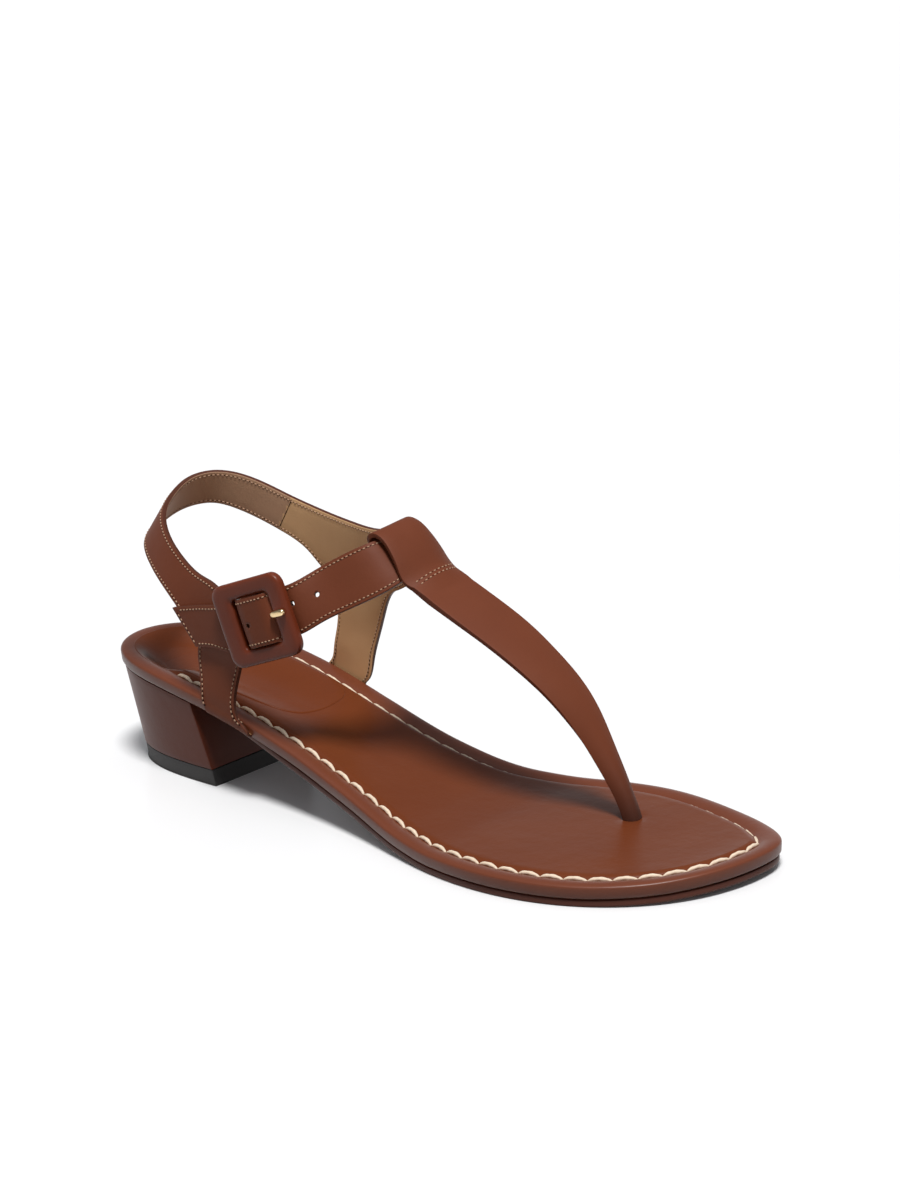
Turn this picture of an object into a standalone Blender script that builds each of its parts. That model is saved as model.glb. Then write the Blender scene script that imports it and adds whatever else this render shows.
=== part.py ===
"""Right-foot heeled sandal: T-strap with a toe post, ankle strap, back strap and low raked heel.

Sizes are in millimetres on the shoe's own axes: x from the back of the heel to the toe, y towards
the medial side, z up from the floor. Vertices are moved to the object's origin and scaled to metres.
"""
import math

import bmesh
import bpy
import numpy as np

MM = 0.001
ORIGIN_X = 125.0
ORIGIN_Y = -2.7

# Fit between pieces that touch
SEAT_GAP = 0.3
# Heights of the sole's layers
OUTSOLE_THICK = 2.0
FOOTBED_SIDE = 3.7
LIFT_THICK = 5.2
# Outsole's edge inside the footbed's, and how much more it draws in from the arch back to the waist
OUTSOLE_INSET = 0.8
OUTSOLE_EDGE = 0.35
WAIST_INSET = 3.2
WAIST_X = 95.0
WAIST_RUN = 45.0
# Where the heel's front face meets the sole, and how far the heel leans and narrows to the floor
BREAST_X = 48.6
BREAST_GAP = 0.75
BREAST_CORNER = 2.0
HEEL_INSET = 0.9
HEEL_RAKE = 6.2
HEEL_TAPER = 0.89
# Shares of that lean at the heel's foot and at the top and foot of its lift
HEEL_FOOT = 0.84
LIFT_TOP = 0.86
LIFT_FOOT = 0.99
LIFT_EDGE = 0.3
# Straps
WALL = 1.8
EDGE_ROUND = 0.45
BAND_STEP = 3.6
TUNNEL_SHIFT = 0.6
# Strap ends turned under the footbed, and the room of their pockets and of the toe post's slot
TUCK_RADIUS = 1.8
TUCK_REACH = 5.0
POCKET_ROOM = 0.6
POCKET_REACH = 4.6
SLOT_ROOM = 0.75
SLOT_HALF = 2.15
# Buckle: half sizes of its outer edge and its window along and across the strap, and their middles
FRAME_HALF = (14.8, 13.3)
FRAME_MIDDLE = (-1.4, 0.1)
WINDOW_HALF = (7.5, 8.1)
WINDOW_MIDDLE = (-0.45, 0.0)
FRAME_THICK = 3.4
FRAME_CORNER = 4.2
WINDOW_CORNER = 1.4
BAR_RADIUS = 1.0
BAR_DEPTH = -1.6
PRONG_RADIUS = 0.95
PRONG_ACROSS = 0.8

# Outline of the footbed: station from the heel, half widths to the lateral and medial sides
OUTLINE = [
    # x, lateral, medial
    (0.0, 0.4, -0.4),
    (6.0, 14.4, 15.4),
    (16.0, 21.2, 21.7),
    (35.0, 25.5, 25.5),
    (65.0, 26.8, 25.4),
    (100.0, 29.2, 23.2),
    (135.0, 35.8, 25.4),
    (165.0, 43.6, 35.0),
    (190.0, 45.6, 40.4),
    (212.0, 41.3, 37.9),
    (230.0, 31.4, 32.2),
    (242.0, 18.4, 25.4),
    (248.0, 5.2, 18.9),
    (250.0, -8.4, 8.4),
]
# Rise of the sole's underside from heel seat through the arch to the toe spring
SOLE_LINE = [
    # x, z
    (0.0, 30.9),
    (30.0, 28.3),
    (60.0, 23.4),
    (90.0, 15.9),
    (120.0, 7.5),
    (148.0, 1.2),
    (165.0, 0.0),
    (214.0, 0.0),
    (232.0, 0.5),
    (250.0, 2.0),
]
# Height of the footbed's middle above its rim line: cupped heel, padded forefoot
FOOTBED_MIDDLE = [
    # x, rise
    (0.0, -0.6),
    (30.0, -2.0),
    (60.0, -1.5),
    (90.0, -0.1),
    (120.0, 0.8),
    (160.0, 1.3),
    (205.0, 1.2),
    (235.0, 1.1),
    (250.0, 1.0),
]
# Edge of the footbed from its underside over the side and rim to the stitch channel
FOOTBED_EDGE = [
    # inset from the outline, rise from the rim line
    (6.0, -3.7),
    (1.0, -3.7),
    (0.0, -3.0),
    (0.0, -0.5),
    (0.4, 0.25),
    (1.2, 0.7),
    (2.6, 0.9),
    (4.6, 0.85),
    (5.8, 0.6),
    (6.5, 0.3),
    (7.2, 0.6),
    (8.6, 0.85),
]
# Band of leather from the lateral quarter round the back to the medial quarter and the ankle strap
BACK_STRAP = [
    # top x, y, z, low x, y, z
    (73.0, -25.4, 66.5, 76.5, -26.0, 49.5),
    (62.0, -24.0, 69.5, 56.0, -25.9, 52.5),
    (54.0, -22.4, 73.6, 46.8, -25.6, 61.2),
    (45.5, -20.3, 77.2, 38.0, -23.0, 66.8),
    (36.0, -16.7, 81.3, 28.5, -18.6, 71.0),
    (27.8, -9.8, 84.9, 20.5, -12.2, 74.5),
    (22.9, 0.0, 88.3, 16.8, -1.5, 77.4),
    (21.6, 10.2, 90.7, 16.6, 10.0, 79.5),
    (25.2, 15.8, 91.3, 20.4, 17.0, 79.9),
    (31.8, 19.2, 90.6, 27.5, 20.2, 78.7),
    (40.0, 21.9, 88.2, 36.0, 22.8, 75.7),
]
MEDIAL_QUARTER = [
    # top x, y, z, low x, y, z
    (50.0, 23.2, 85.1, 46.5, 23.8, 72.2),
    (60.0, 23.4, 82.8, 57.0, 24.4, 67.3),
    (70.0, 22.7, 81.3, 66.0, 24.8, 60.0),
    (80.5, 21.3, 80.4, 82.0, 23.8, 58.0),
    (91.5, 19.2, 80.4, 97.0, 21.6, 60.2),
]
ANKLE_STRAP = [
    # top x, y, z, low x, y, z
    (103.0, 16.4, 82.6, 109.6, 18.9, 66.8),
    (111.8, 13.6, 85.2, 120.4, 15.8, 73.2),
    (117.0, 7.8, 87.2, 127.4, 8.8, 77.0),
    (117.6, 0.4, 86.8, 128.8, 0.6, 77.6),
    (117.0, -8.2, 85.3, 127.6, -9.2, 76.3),
    (105.7, -17.0, 79.8, 115.0, -19.0, 68.6),
    (100.8, -21.9, 76.4, 108.4, -23.2, 65.2),
]
# Rows of the ankle strap that lie in the T-strap's tunnel
TUNNEL_ROW = 3
STRAP_TAIL = [
    # top x, y, z, low x, y, z
    (61.0, -28.3, 63.1, 67.0, -28.3, 49.9),
    (47.6, -28.0, 60.2, 57.1, -28.0, 48.8),
]
# Strap woven under, over and under the buckle: place along the strap, height from the frame's middle
WEAVE = [
    # along, out
    (11.0, -3.0),
    (7.9, -2.8),
    (5.3, -1.2),
    (2.7, 0.5),
    (-0.4, 0.7),
    (-3.6, 0.5),
    (-6.2, -1.2),
    (-8.8, -2.8),
    (-12.4, -3.0),
    (-18.2, -2.9),
]
WEAVE_HALF = 7.6
# Tab of the lateral quarter that runs behind the buckle's bar
TAB = [
    # along, out
    (4.6, -3.9),
    (-2.0, -3.95),
    (-7.0, -5.1),
]
TAB_HALF = 7.4
# Legs from the quarters down to the sole
LATERAL_LEG = [
    # rear x, y, z, front x, y, z
    (55.8, -26.1, 47.0, 74.4, -26.1, 45.2),
    (56.4, -26.7, 40.0, 72.3, -26.9, 37.8),
    (56.8, -27.4, 34.0, 71.8, -27.9, 31.6),
]
LATERAL_TUCK = (57.3, 73.2, 58.2, 76.4)
MEDIAL_LEG = [
    # rear x, y, z, front x, y, z
    (68.9, 25.0, 52.0, 91.2, 23.4, 52.6),
    (68.6, 25.3, 45.5, 87.8, 24.6, 45.0),
    (67.0, 25.8, 38.5, 84.2, 25.3, 37.6),
]
MEDIAL_TUCK = (62.6, 79.0, 61.0, 77.4)
# T-strap from the tunnel's seam down to the toe post in its slot
TOE_STRAP = [
    # lateral x, y, z, medial x, y, z, crown, thickness
    (136.8, -7.9, 71.9, 136.2, 12.2, 72.9, 0.3, 2.2),
    (148.2, -6.1, 65.4, 147.9, 13.8, 66.9, 0.6, 2.0),
    (156.8, -4.2, 60.2, 157.1, 15.8, 60.8, 0.8, 1.9),
    (166.2, -1.6, 53.4, 166.5, 16.8, 53.7, 1.0, 1.9),
    (175.2, 1.9, 44.7, 175.4, 17.2, 46.0, 1.2, 1.9),
    (181.4, 5.4, 35.5, 182.5, 16.8, 37.4, 1.3, 2.0),
    (186.2, 8.2, 26.6, 188.5, 16.0, 27.0, 1.2, 2.3),
    (190.6, 9.8, 19.2, 192.9, 15.9, 19.2, 0.9, 2.7),
    (194.3, 10.7, 12.7, 196.4, 15.8, 12.7, 0.7, 3.0),
    (196.5, 10.8, 7.2, 199.2, 15.7, 7.2, 0.6, 3.2),
    (197.8, 10.9, 2.6, 200.5, 15.5, 2.6, 0.5, 3.2),
]
# Tunnel of the T-strap round the ankle strap, from the seam over the top and down behind
TUNNEL = [
    # up from the ankle strap's low edge, out from its middle and further out at the medial end,
    # lateral and medial reach, thickness
    (-4.8, 1.5, 1.1, 7.6, 12.0, 2.2),
    (-3.0, 1.5, 1.0, 7.9, 11.5, 2.0),
    (-0.6, 1.95, 0.8, 7.9, 11.0, 1.6),
    (3.0, 2.9, 0.35, 7.8, 10.4, 1.6),
    (9.0, 3.8, 0.0, 8.1, 9.6, 1.6),
    (15.0, 2.9, 0.0, 8.9, 9.4, 1.6),
    (16.5, 1.7, 0.0, 9.2, 9.3, 1.6),
    (16.9, 0.4, 0.0, 9.3, 9.3, 1.6),
    (16.4, -0.77, 0.0, 9.3, 9.3, 1.6),
    (15.2, -1.25, 0.0, 9.3, 9.3, 1.6),
    (9.0, -1.25, 0.0, 9.3, 9.3, 1.6),
    (3.0, -1.25, 0.0, 9.3, 9.3, 1.6),
    (0.6, -1.15, 0.0, 9.3, 9.3, 1.6),
]
# Prong from the bar, up through its hole in the strap and onto the frame
PRONG = [
    # along, out
    (2.3, -1.55),
    (3.9, -1.2),
    (5.5, 0.7),
    (7.3, 2.8),
    (9.0, 2.98),
    (13.2, 2.85),
]
# Buckle's middle, direction along the strap and direction out of its face
BUCKLE_AT = np.array([88.5, -30.1, 63.2])
BUCKLE_ALONG = np.array([0.94, 0.07, 0.33])
BUCKLE_OUT = np.array([0.07, -1.0, 0.0])

COLOURS = {
    # red, green, blue, roughness, metallic
    "footbed": (0.18, 0.062, 0.031, 0.42, 0.0),
    "outsole": (0.16, 0.055, 0.034, 0.6, 0.0),
    "heel": (0.115, 0.047, 0.036, 0.45, 0.0),
    "heel_lift": (0.022, 0.02, 0.019, 0.7, 0.0),
    "upper": (0.2, 0.065, 0.034, 0.45, 0.0),
    "buckle_frame": (0.2, 0.058, 0.03, 0.4, 0.0),
    "buckle_prong": (0.72, 0.56, 0.34, 0.28, 1.0),
}


def spline(rows, strands=1):
    """Cubic curve through a table's rows by mean distance along their strands, with its knots."""
    p = np.asarray(rows, float)
    size = 3 if strands > 1 else p.shape[1]
    moves = np.diff(p, axis=0)[:, :size * strands].reshape(-1, strands, size)
    step = np.linalg.norm(moves, axis=2).mean(axis=1)
    t = np.concatenate([[0.0], np.cumsum(step)])
    count = len(t)
    grid = np.eye(count)
    side = np.zeros_like(p)
    for i in range(1, count - 1):
        grid[i, i - 1] = step[i - 1]
        grid[i, i] = 2.0 * (step[i - 1] + step[i])
        grid[i, i + 1] = step[i]
        side[i] = 6.0 * ((p[i + 1] - p[i]) / step[i] - (p[i] - p[i - 1]) / step[i - 1])
    bend = np.linalg.solve(grid, side)

    def place(s):
        i = int(np.clip(np.searchsorted(t, s) - 1, 0, count - 2))
        h = step[i]
        a = (t[i + 1] - s) / h
        b = (s - t[i]) / h
        curve = ((a ** 3 - a) * bend[i] + (b ** 3 - b) * bend[i + 1]) * h * h / 6.0
        return a * p[i] + b * p[i + 1] + curve

    return place, t


def steady(table):
    """Curve through two-column rows that never overshoots them."""
    x = np.array([row[0] for row in table])
    y = np.array([row[1] for row in table])
    slope = np.diff(y) / np.diff(x)
    tangent = np.zeros(len(x))
    for i in range(1, len(x) - 1):
        if slope[i - 1] * slope[i] > 0.0:
            tangent[i] = 2.0 * slope[i - 1] * slope[i] / (slope[i - 1] + slope[i])
    tangent[0] = slope[0]
    tangent[-1] = slope[-1]

    def height(s):
        s = min(max(s, x[0]), x[-1])
        i = int(np.clip(np.searchsorted(x, s) - 1, 0, len(x) - 2))
        h = x[i + 1] - x[i]
        u = (s - x[i]) / h
        start = (1.0 + 2.0 * u) * (1.0 - u) ** 2 * y[i] + u * (1.0 - u) ** 2 * h * tangent[i]
        end = u * u * (3.0 - 2.0 * u) * y[i + 1] + u * u * (u - 1.0) * h * tangent[i + 1]
        return start + end

    return height


def unit(v):
    return v / np.linalg.norm(v)


def smooth(u):
    u = min(max(u, 0.0), 1.0)
    return u * u * (3.0 - 2.0 * u)


sole_line = steady(SOLE_LINE)
footbed_middle = steady(FOOTBED_MIDDLE)


def footbed_low(x):
    return sole_line(x) + OUTSOLE_THICK + SEAT_GAP


def rim_line(x):
    return footbed_low(x) + FOOTBED_SIDE


def outline(per_side):
    """Closed outline, lateral side from heel to toe and back along the medial side."""
    lateral = [(x, -a) for x, a, b in OUTLINE]
    medial = [(x, b) for x, a, b in OUTLINE[-2:0:-1]]
    ring = lateral + medial
    place, t = spline(ring[-3:] + ring + ring[:4])
    heel = t[3]
    toe = t[3 + len(lateral) - 1]
    end = t[3 + len(ring)]
    first = [place(s) for s in np.linspace(heel, toe, per_side + 1)]
    second = [place(s) for s in np.linspace(toe, end, per_side + 1)[1:-1]]
    return np.array(first + second)


def inset(ring, distance):
    """Ring moved inwards along its own normals."""
    tangent = np.roll(ring, -1, axis=0) - np.roll(ring, 1, axis=0)
    tangent /= np.linalg.norm(tangent, axis=1)[:, None]
    inward = np.column_stack([-tangent[:, 1], tangent[:, 0]])
    return ring + inward * distance


def side_y(x, side):
    """Edge of the footbed at a station on one side."""
    ring = outline(60)
    half = ring[:61] if side < 0 else np.vstack([ring[:1], ring[:59:-1]])
    return float(np.interp(x, half[:, 0], half[:, 1]))


def buckle_point(along, out, across=0.0):
    u = unit(BUCKLE_ALONG)
    n = unit(BUCKLE_OUT - u * (BUCKLE_OUT @ u))
    return BUCKLE_AT + u * along + n * out + np.cross(n, u) * across


def new_object(name, points, faces, home):
    """Mesh object from points in millimetres, with its faces turned outwards."""
    mesh = bpy.data.meshes.new(name)
    moved = [((x - ORIGIN_X) * MM, (y - ORIGIN_Y) * MM, z * MM) for x, y, z in points]
    mesh.from_pydata(moved, [], faces)
    edit = bmesh.new()
    edit.from_mesh(mesh)
    bmesh.ops.recalc_face_normals(edit, faces=edit.faces)
    edit.to_mesh(mesh)
    edit.free()
    item = bpy.data.objects.new(name, mesh)
    home.objects.link(item)
    if home == cutters:
        item.hide_render = True
        item.display_type = "WIRE"
        return item
    red, green, blue, rough, metal = COLOURS[name]
    material = bpy.data.materials.new(name)
    material.use_nodes = True
    shader = material.node_tree.nodes["Principled BSDF"]
    shader.inputs["Base Color"].default_value = (red, green, blue, 1.0)
    shader.inputs["Roughness"].default_value = rough
    shader.inputs["Metallic"].default_value = metal
    mesh.materials.append(material)
    mesh.shade_smooth()
    return item


def boolean(item, other, operation):
    tool = item.modifiers.new(other.name, "BOOLEAN")
    tool.operation = operation
    tool.solver = "EXACT"
    tool.object = other


def thicken(item, walls, rounding):
    """Solidify a sheet about its middle, each row to its own wall, and round the cut edges."""
    most = max(walls)
    group = item.vertex_groups.new(name="wall")
    for index, wall in enumerate(walls):
        group.add([index], wall / most, "REPLACE")
    solid = item.modifiers.new("wall", "SOLIDIFY")
    solid.thickness = most * MM
    solid.offset = 0.0
    solid.use_even_offset = True
    solid.vertex_group = group.name
    if rounding > 0.0:
        bevel = item.modifiers.new("rounded edges", "BEVEL")
        bevel.width = rounding * MM
        bevel.segments = 1
        bevel.limit_method = "ANGLE"
        bevel.angle_limit = math.radians(50.0)


def ring_faces(rings, count, start=0):
    faces = []
    for j in range(rings - 1):
        for i in range(count):
            k = (i + 1) % count
            a = start + j * count
            b = a + count
            faces.append((a + i, a + k, b + k, b + i))
    return faces


def cap(ring_start, count, across, points, height):
    """Rows of faces that close a ring from side to side, and their new points."""
    half = count // 2
    rows = [[ring_start]]
    for k in range(1, half):
        left = ring_start + k
        right = ring_start + count - k
        row = [left]
        for j in range(1, across):
            a = np.array(points[left][:2])
            b = np.array(points[right][:2])
            x, y = a + (b - a) * j / across
            points.append((x, y, height(x, y)))
            row.append(len(points) - 1)
        rows.append(row + [right])
    rows.append([ring_start + half])
    faces = [(rows[0][0], rows[1][j + 1], rows[1][j]) for j in range(across)]
    for k in range(1, half - 1):
        for j in range(across):
            faces.append((rows[k][j], rows[k][j + 1], rows[k + 1][j + 1], rows[k + 1][j]))
    last = rows[half - 1]
    faces += [(last[j], last[j + 1], rows[half][0]) for j in range(across)]
    return faces


def build_footbed():
    per_side = 48
    base = outline(per_side)
    count = len(base)
    points = []
    for distance, rise in FOOTBED_EDGE:
        for x, y in inset(base, distance):
            points.append((x, y, rim_line(x) + rise))
    rings = len(FOOTBED_EDGE)
    faces = ring_faces(rings, count)
    inner = inset(base, FOOTBED_EDGE[-1][0])
    edge_rise = FOOTBED_EDGE[-1][1]

    def top(x, y):
        edge = np.min(np.hypot(inner[:, 0] - x, inner[:, 1] - y))
        share = smooth(edge / 15.0)
        return rim_line(x) + edge_rise + (footbed_middle(x) - edge_rise) * share

    faces += cap((rings - 1) * count, count, 6, points, top)
    faces += cap(0, count, 3, points, lambda x, y: footbed_low(x))
    return new_object("footbed", points, faces, parts)


def resample(path, count):
    """Points evenly spaced along a path."""
    path = np.asarray(path)
    t = np.concatenate([[0.0], np.cumsum(np.linalg.norm(np.diff(path, axis=0), axis=1))])
    s = np.linspace(0.0, t[-1], count)
    return np.column_stack([np.interp(s, t, path[:, 0]), np.interp(s, t, path[:, 1])])


def build_outsole():
    """Sheet under the footbed from the heel's breast to the toe, a little inside its edge."""
    rear = BREAST_X + BREAST_GAP
    base = outline(240)
    draw_in = [OUTSOLE_INSET + WAIST_INSET * smooth((WAIST_X - x) / WAIST_RUN) for x, y in base]
    base = inset(base, np.array(draw_in)[:, None])
    half = len(base) // 2
    corner_l = [rear, np.interp(rear, *base[:half].T)]
    corner_m = [rear, np.interp(rear, *base[:half:-1].T)]
    edge = resample([corner_l] + [p for p in base if p[0] > rear] + [corner_m], 79)
    back = np.linspace(corner_m, corner_l, 7)[1:-1]
    ring = np.vstack([back[2:], edge, back[:2]])
    count = len(ring)
    points = []
    levels = [(0.0, OUTSOLE_THICK), (0.0, OUTSOLE_EDGE), (OUTSOLE_EDGE, 0.0)]
    for distance, rise in levels:
        for x, y in inset(ring, distance):
            points.append((x, y, sole_line(x) + rise))
    faces = ring_faces(len(levels), count)
    faces += cap(0, count, 4, points, lambda x, y: sole_line(x) + OUTSOLE_THICK)
    faces += cap((len(levels) - 1) * count, count, 4, points, lambda x, y: sole_line(x))
    return new_object("outsole", points, faces, parts)


def heel_ring():
    """Outline of the heel seat from its back, closed by the straight breast."""
    base = inset(outline(160), HEEL_INSET)
    half = len(base) // 2
    corner_l = [BREAST_X, np.interp(BREAST_X, *base[:half].T)]
    corner_m = [BREAST_X, np.interp(BREAST_X, *np.vstack([base[:1], base[:half:-1]]).T)]
    lateral = [p for p in base[:half] if p[0] < BREAST_X - BREAST_CORNER]
    medial = [p for p in base[:half:-1] if p[0] < BREAST_X - BREAST_CORNER]
    side = resample([corner_l] + lateral[::-1] + medial + [corner_m], 37)
    front = np.linspace(corner_m, corner_l, 11)[1:-1]
    return np.vstack([side[18:], front, side[:18]])


def build_heel():
    ring = heel_ring()
    count = len(ring)

    def level(share):
        """The ring part of the way to the floor, raked forward and narrowed."""
        x = ring[:, 0] + HEEL_RAKE * share
        y = ring[:, 1] * (1.0 - (1.0 - HEEL_TAPER) * share)
        return np.column_stack([x, y])

    bottom = LIFT_THICK + SEAT_GAP
    points = []
    steps = 5
    for j in range(steps + 1):
        share = j / steps
        place = level(share * HEEL_FOOT)
        for i in range(count):
            high = sole_line(ring[i, 0]) + OUTSOLE_THICK
            points.append((place[i, 0], place[i, 1], high + (bottom - high) * share))
    faces = ring_faces(steps + 1, count)
    faces += cap(0, count, 6, points, lambda x, y: sole_line(x) + OUTSOLE_THICK)
    faces += cap(steps * count, count, 6, points, lambda x, y: bottom)
    heel = new_object("heel", points, faces, parts)

    points = []
    levels = [
        # share of the heel's lean, inset, height
        (LIFT_TOP, 0.0, LIFT_THICK),
        (LIFT_FOOT, 0.0, LIFT_EDGE),
        (LIFT_FOOT, LIFT_EDGE, 0.0),
    ]
    for share, distance, high in levels:
        points += [(x, y, high) for x, y in inset(level(share), distance)]
    faces = ring_faces(len(levels), count)
    faces += cap(0, count, 4, points, lambda x, y: LIFT_THICK)
    faces += cap(2 * count, count, 4, points, lambda x, y: 0.0)
    lift = new_object("heel_lift", points, faces, parts)
    return heel, lift


def edges_at_buckle(rows, half):
    table = []
    for along, out in rows:
        table.append(tuple(buckle_point(along, out, half)) + tuple(buckle_point(along, out, -half)))
    return table


BAND_ROWS = (
    edges_at_buckle(TAB, TAB_HALF)
    + BACK_STRAP
    + MEDIAL_QUARTER
    + ANKLE_STRAP
    + edges_at_buckle(WEAVE, WEAVE_HALF)
    + STRAP_TAIL
)
LATERAL_SPAN = (len(TAB), len(TAB) + 1)
MEDIAL_SPAN = (len(TAB) + len(BACK_STRAP) + 2, len(TAB) + len(BACK_STRAP) + 4)
TUNNEL_SPAN = len(TAB) + len(BACK_STRAP) + len(MEDIAL_QUARTER) + TUNNEL_ROW
band, band_t = spline(BAND_ROWS, 2)


def band_point(s, share):
    """Point of the band's middle surface: share 0 at its low edge, 1 at its top edge."""
    row = band(s)
    return row[3:] + (row[:3] - row[3:]) * share


def band_frame(s, share):
    """Directions up the band and out of it at a point."""
    row = band(s)
    up = unit(row[:3] - row[3:])
    ahead = unit(band_point(s + 0.5, share) - band_point(s - 0.5, share))
    return up, unit(np.cross(up, ahead))


def leg_columns(tops, before, rows, tuck, side):
    """Columns of points from the band's low edge down a leg, round the sole's edge and under it."""
    columns = []
    for i, top in enumerate(tops):
        share = i / (len(tops) - 1)
        if side < 0:
            share = 1.0 - share
        lean = [np.array(r[:3]) + (np.array(r[3:]) - np.array(r[:3])) * share for r in rows]
        rear_high, front_high, rear_low, front_low = tuck
        x_high = rear_high + (front_high - rear_high) * share
        x_low = rear_low + (front_low - rear_low) * share
        bottom = footbed_low(x_low) + WALL * 0.5
        out = side_y(x_low, side) + side * (SEAT_GAP + WALL * 0.5)
        high_out = side_y(x_high, side) + side * (SEAT_GAP + WALL * 0.5)
        lean.append(np.array([x_high, high_out, footbed_low(x_high) + 4.4]))
        for angle in (0.0, 30.0, 60.0, 90.0):
            turn = math.radians(angle)
            y = out - side * TUCK_RADIUS * (1.0 - math.cos(turn))
            lean.append(np.array([x_low, y, bottom + TUCK_RADIUS * (1.0 - math.sin(turn))]))
        lean.append(np.array([x_low, out - side * TUCK_REACH, bottom]))
        place, t = spline([before[i], top] + lean)
        column = []
        for k in range(1, len(t) - 1):
            steps = 2 if k < 5 else 1
            column += [place(t[k] + (t[k + 1] - t[k]) * (n + 1) / steps) for n in range(steps)]
        columns.append(column)
    return columns


def build_band():
    """Sheet of the band with both legs hanging from its low edge."""
    across = 4
    stations = []
    row_start = []
    for i in range(len(band_t) - 1):
        length = band_t[i + 1] - band_t[i]
        steps = max(1, round(length / BAND_STEP))
        row_start.append(len(stations))
        stations += [band_t[i] + length * n / steps for n in range(steps)]
    stations.append(band_t[-1])
    points = []
    for s in stations:
        points += [band_point(s, j / across) for j in range(across + 1)]
    wide = across + 1
    faces = []
    for i in range(len(stations) - 1):
        for j in range(across):
            a = i * wide + j
            faces.append((a, a + 1, a + wide + 1, a + wide))
    for span, rows, tuck, side in (
        (LATERAL_SPAN, LATERAL_LEG, LATERAL_TUCK, -1),
        (MEDIAL_SPAN, MEDIAL_LEG, MEDIAL_TUCK, 1),
    ):
        columns = range(row_start[span[0]], row_start[span[1]] + 1)
        tops = [points[i * wide] for i in columns]
        # Each column runs on from the band above it, and the outer ones from the band's low edge.
        before = [points[i * wide + 1] for i in columns]
        before[0] = points[(columns[0] - 1) * wide]
        before[-1] = points[(columns[-1] + 1) * wide]
        drop = leg_columns(tops, before, rows, tuck, side)
        above = [i * wide for i in columns]
        for k in range(len(drop[0])):
            below = []
            for column in drop:
                points.append(column[k])
                below.append(len(points) - 1)
            for c in range(len(above) - 1):
                faces.append((above[c], below[c], below[c + 1], above[c + 1]))
            above = below
    item = new_object("upper", points, faces, parts)
    thicken(item, [WALL] * len(points), EDGE_ROUND)
    return item


def toe_strap_rows(across):
    """Rows of points of the T-strap from the toe post up to the seam and round the tunnel."""
    place, t = spline(TOE_STRAP[::-1], 2)
    rows = []
    walls = []
    spread = np.linspace(-1.0, 1.0, across + 1)
    for i in range(len(t) - 1):
        for n in range(2):
            s = t[i] + (t[i + 1] - t[i]) * n / 2
            row = place(s)
            ahead = place(min(s + 1.0, t[-1])) - place(max(s - 1.0, 0.0))
            lateral = row[:3]
            medial = row[3:6]
            out = unit(np.cross(medial - lateral, ahead[:3] + ahead[3:6]))
            if out[0] < 0.0:
                out = -out
            points = []
            for c in spread:
                middle = (lateral + medial) * 0.5 + (medial - lateral) * 0.5 * c
                points.append(middle + out * row[6] * (0.6 - c * c))
            rows.append(points)
            walls.append(row[7])
    last = place(t[-1])
    rows.append([last[:3] + (last[3:6] - last[:3]) * (c + 1.0) / 2.0 for c in spread])
    walls.append(last[7])
    centre = band_t[TUNNEL_SPAN] + TUNNEL_SHIFT
    path, knots = spline(TUNNEL)
    places = []
    for i in range(len(knots) - 1):
        places.append(knots[i])
        if i < 5 or i > 8:
            places.append((knots[i] + knots[i + 1]) * 0.5)
    for s in places + [knots[-1]]:
        up, out, flare, lateral, medial, wall = path(s)
        row = []
        for share in np.linspace(0.0, 1.0, across + 1):
            along = centre + lateral - (lateral + medial) * share
            row.append(tunnel_point(along, up, out + flare * share ** 2))
        rows.append(row)
        walls.append(wall)
    return rows, walls


def tunnel_point(s, up, out):
    row = band(s)
    width = np.linalg.norm(row[:3] - row[3:])
    rise, away = band_frame(s, min(max(up / width, 0.0), 1.0))
    return row[3:] + rise * up + away * out


def build_toe_strap():
    across = 6
    rows, walls = toe_strap_rows(across)
    wide = across + 1
    points = [p for row in rows for p in row]
    faces = []
    for i in range(len(rows) - 1):
        for j in range(across):
            a = i * wide + j
            faces.append((a, a + 1, a + wide + 1, a + wide))
    item = new_object("toe_strap_tool", points, faces, cutters)
    thicken(item, [wall for wall in walls for n in range(wide)], EDGE_ROUND)
    return item


def rounded_square(half, corner, steps=5):
    points = []
    for quarter in range(4):
        turn = math.pi / 2.0 * quarter
        middle = np.array([half[0] - corner, half[1] - corner])
        middle *= [(1, -1, -1, 1)[quarter], (1, 1, -1, -1)[quarter]]
        for n in range(steps):
            angle = turn + math.pi / 2.0 * n / (steps - 1)
            points.append(middle + corner * np.array([math.cos(angle), math.sin(angle)]))
    return np.array(points)


def build_buckle():
    outer = rounded_square(FRAME_HALF, FRAME_CORNER) + FRAME_MIDDLE
    window = rounded_square(WINDOW_HALF, WINDOW_CORNER) + WINDOW_MIDDLE
    half = FRAME_THICK / 2.0
    section = [
        # share from the outer edge to the window, height out
        (0.0, -half + 0.7),
        (0.0, half - 1.0),
        (0.12, half - 0.3),
        (0.3, half),
        (0.7, half),
        (0.88, half - 0.3),
        (1.0, half - 1.0),
        (1.0, -half + 0.7),
        (0.85, -half),
        (0.15, -half),
    ]
    points = []
    for share, out in section:
        for a, b in outer + (window - outer) * share:
            points.append(buckle_point(a, out, b))
    count = len(outer)
    faces = ring_faces(len(section), count)
    last = (len(section) - 1) * count
    faces += [(last + i, last + (i + 1) % count, (i + 1) % count, i) for i in range(count)]
    frame = new_object("buckle_frame", points, faces, parts)

    reach = WINDOW_HALF[1] + 2.2
    path = [buckle_point(0.0, BAR_DEPTH, -reach), buckle_point(0.0, BAR_DEPTH, reach)]
    boolean(frame, tube("bar_tool", path, BAR_RADIUS, cutters), "UNION")
    return frame


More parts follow.
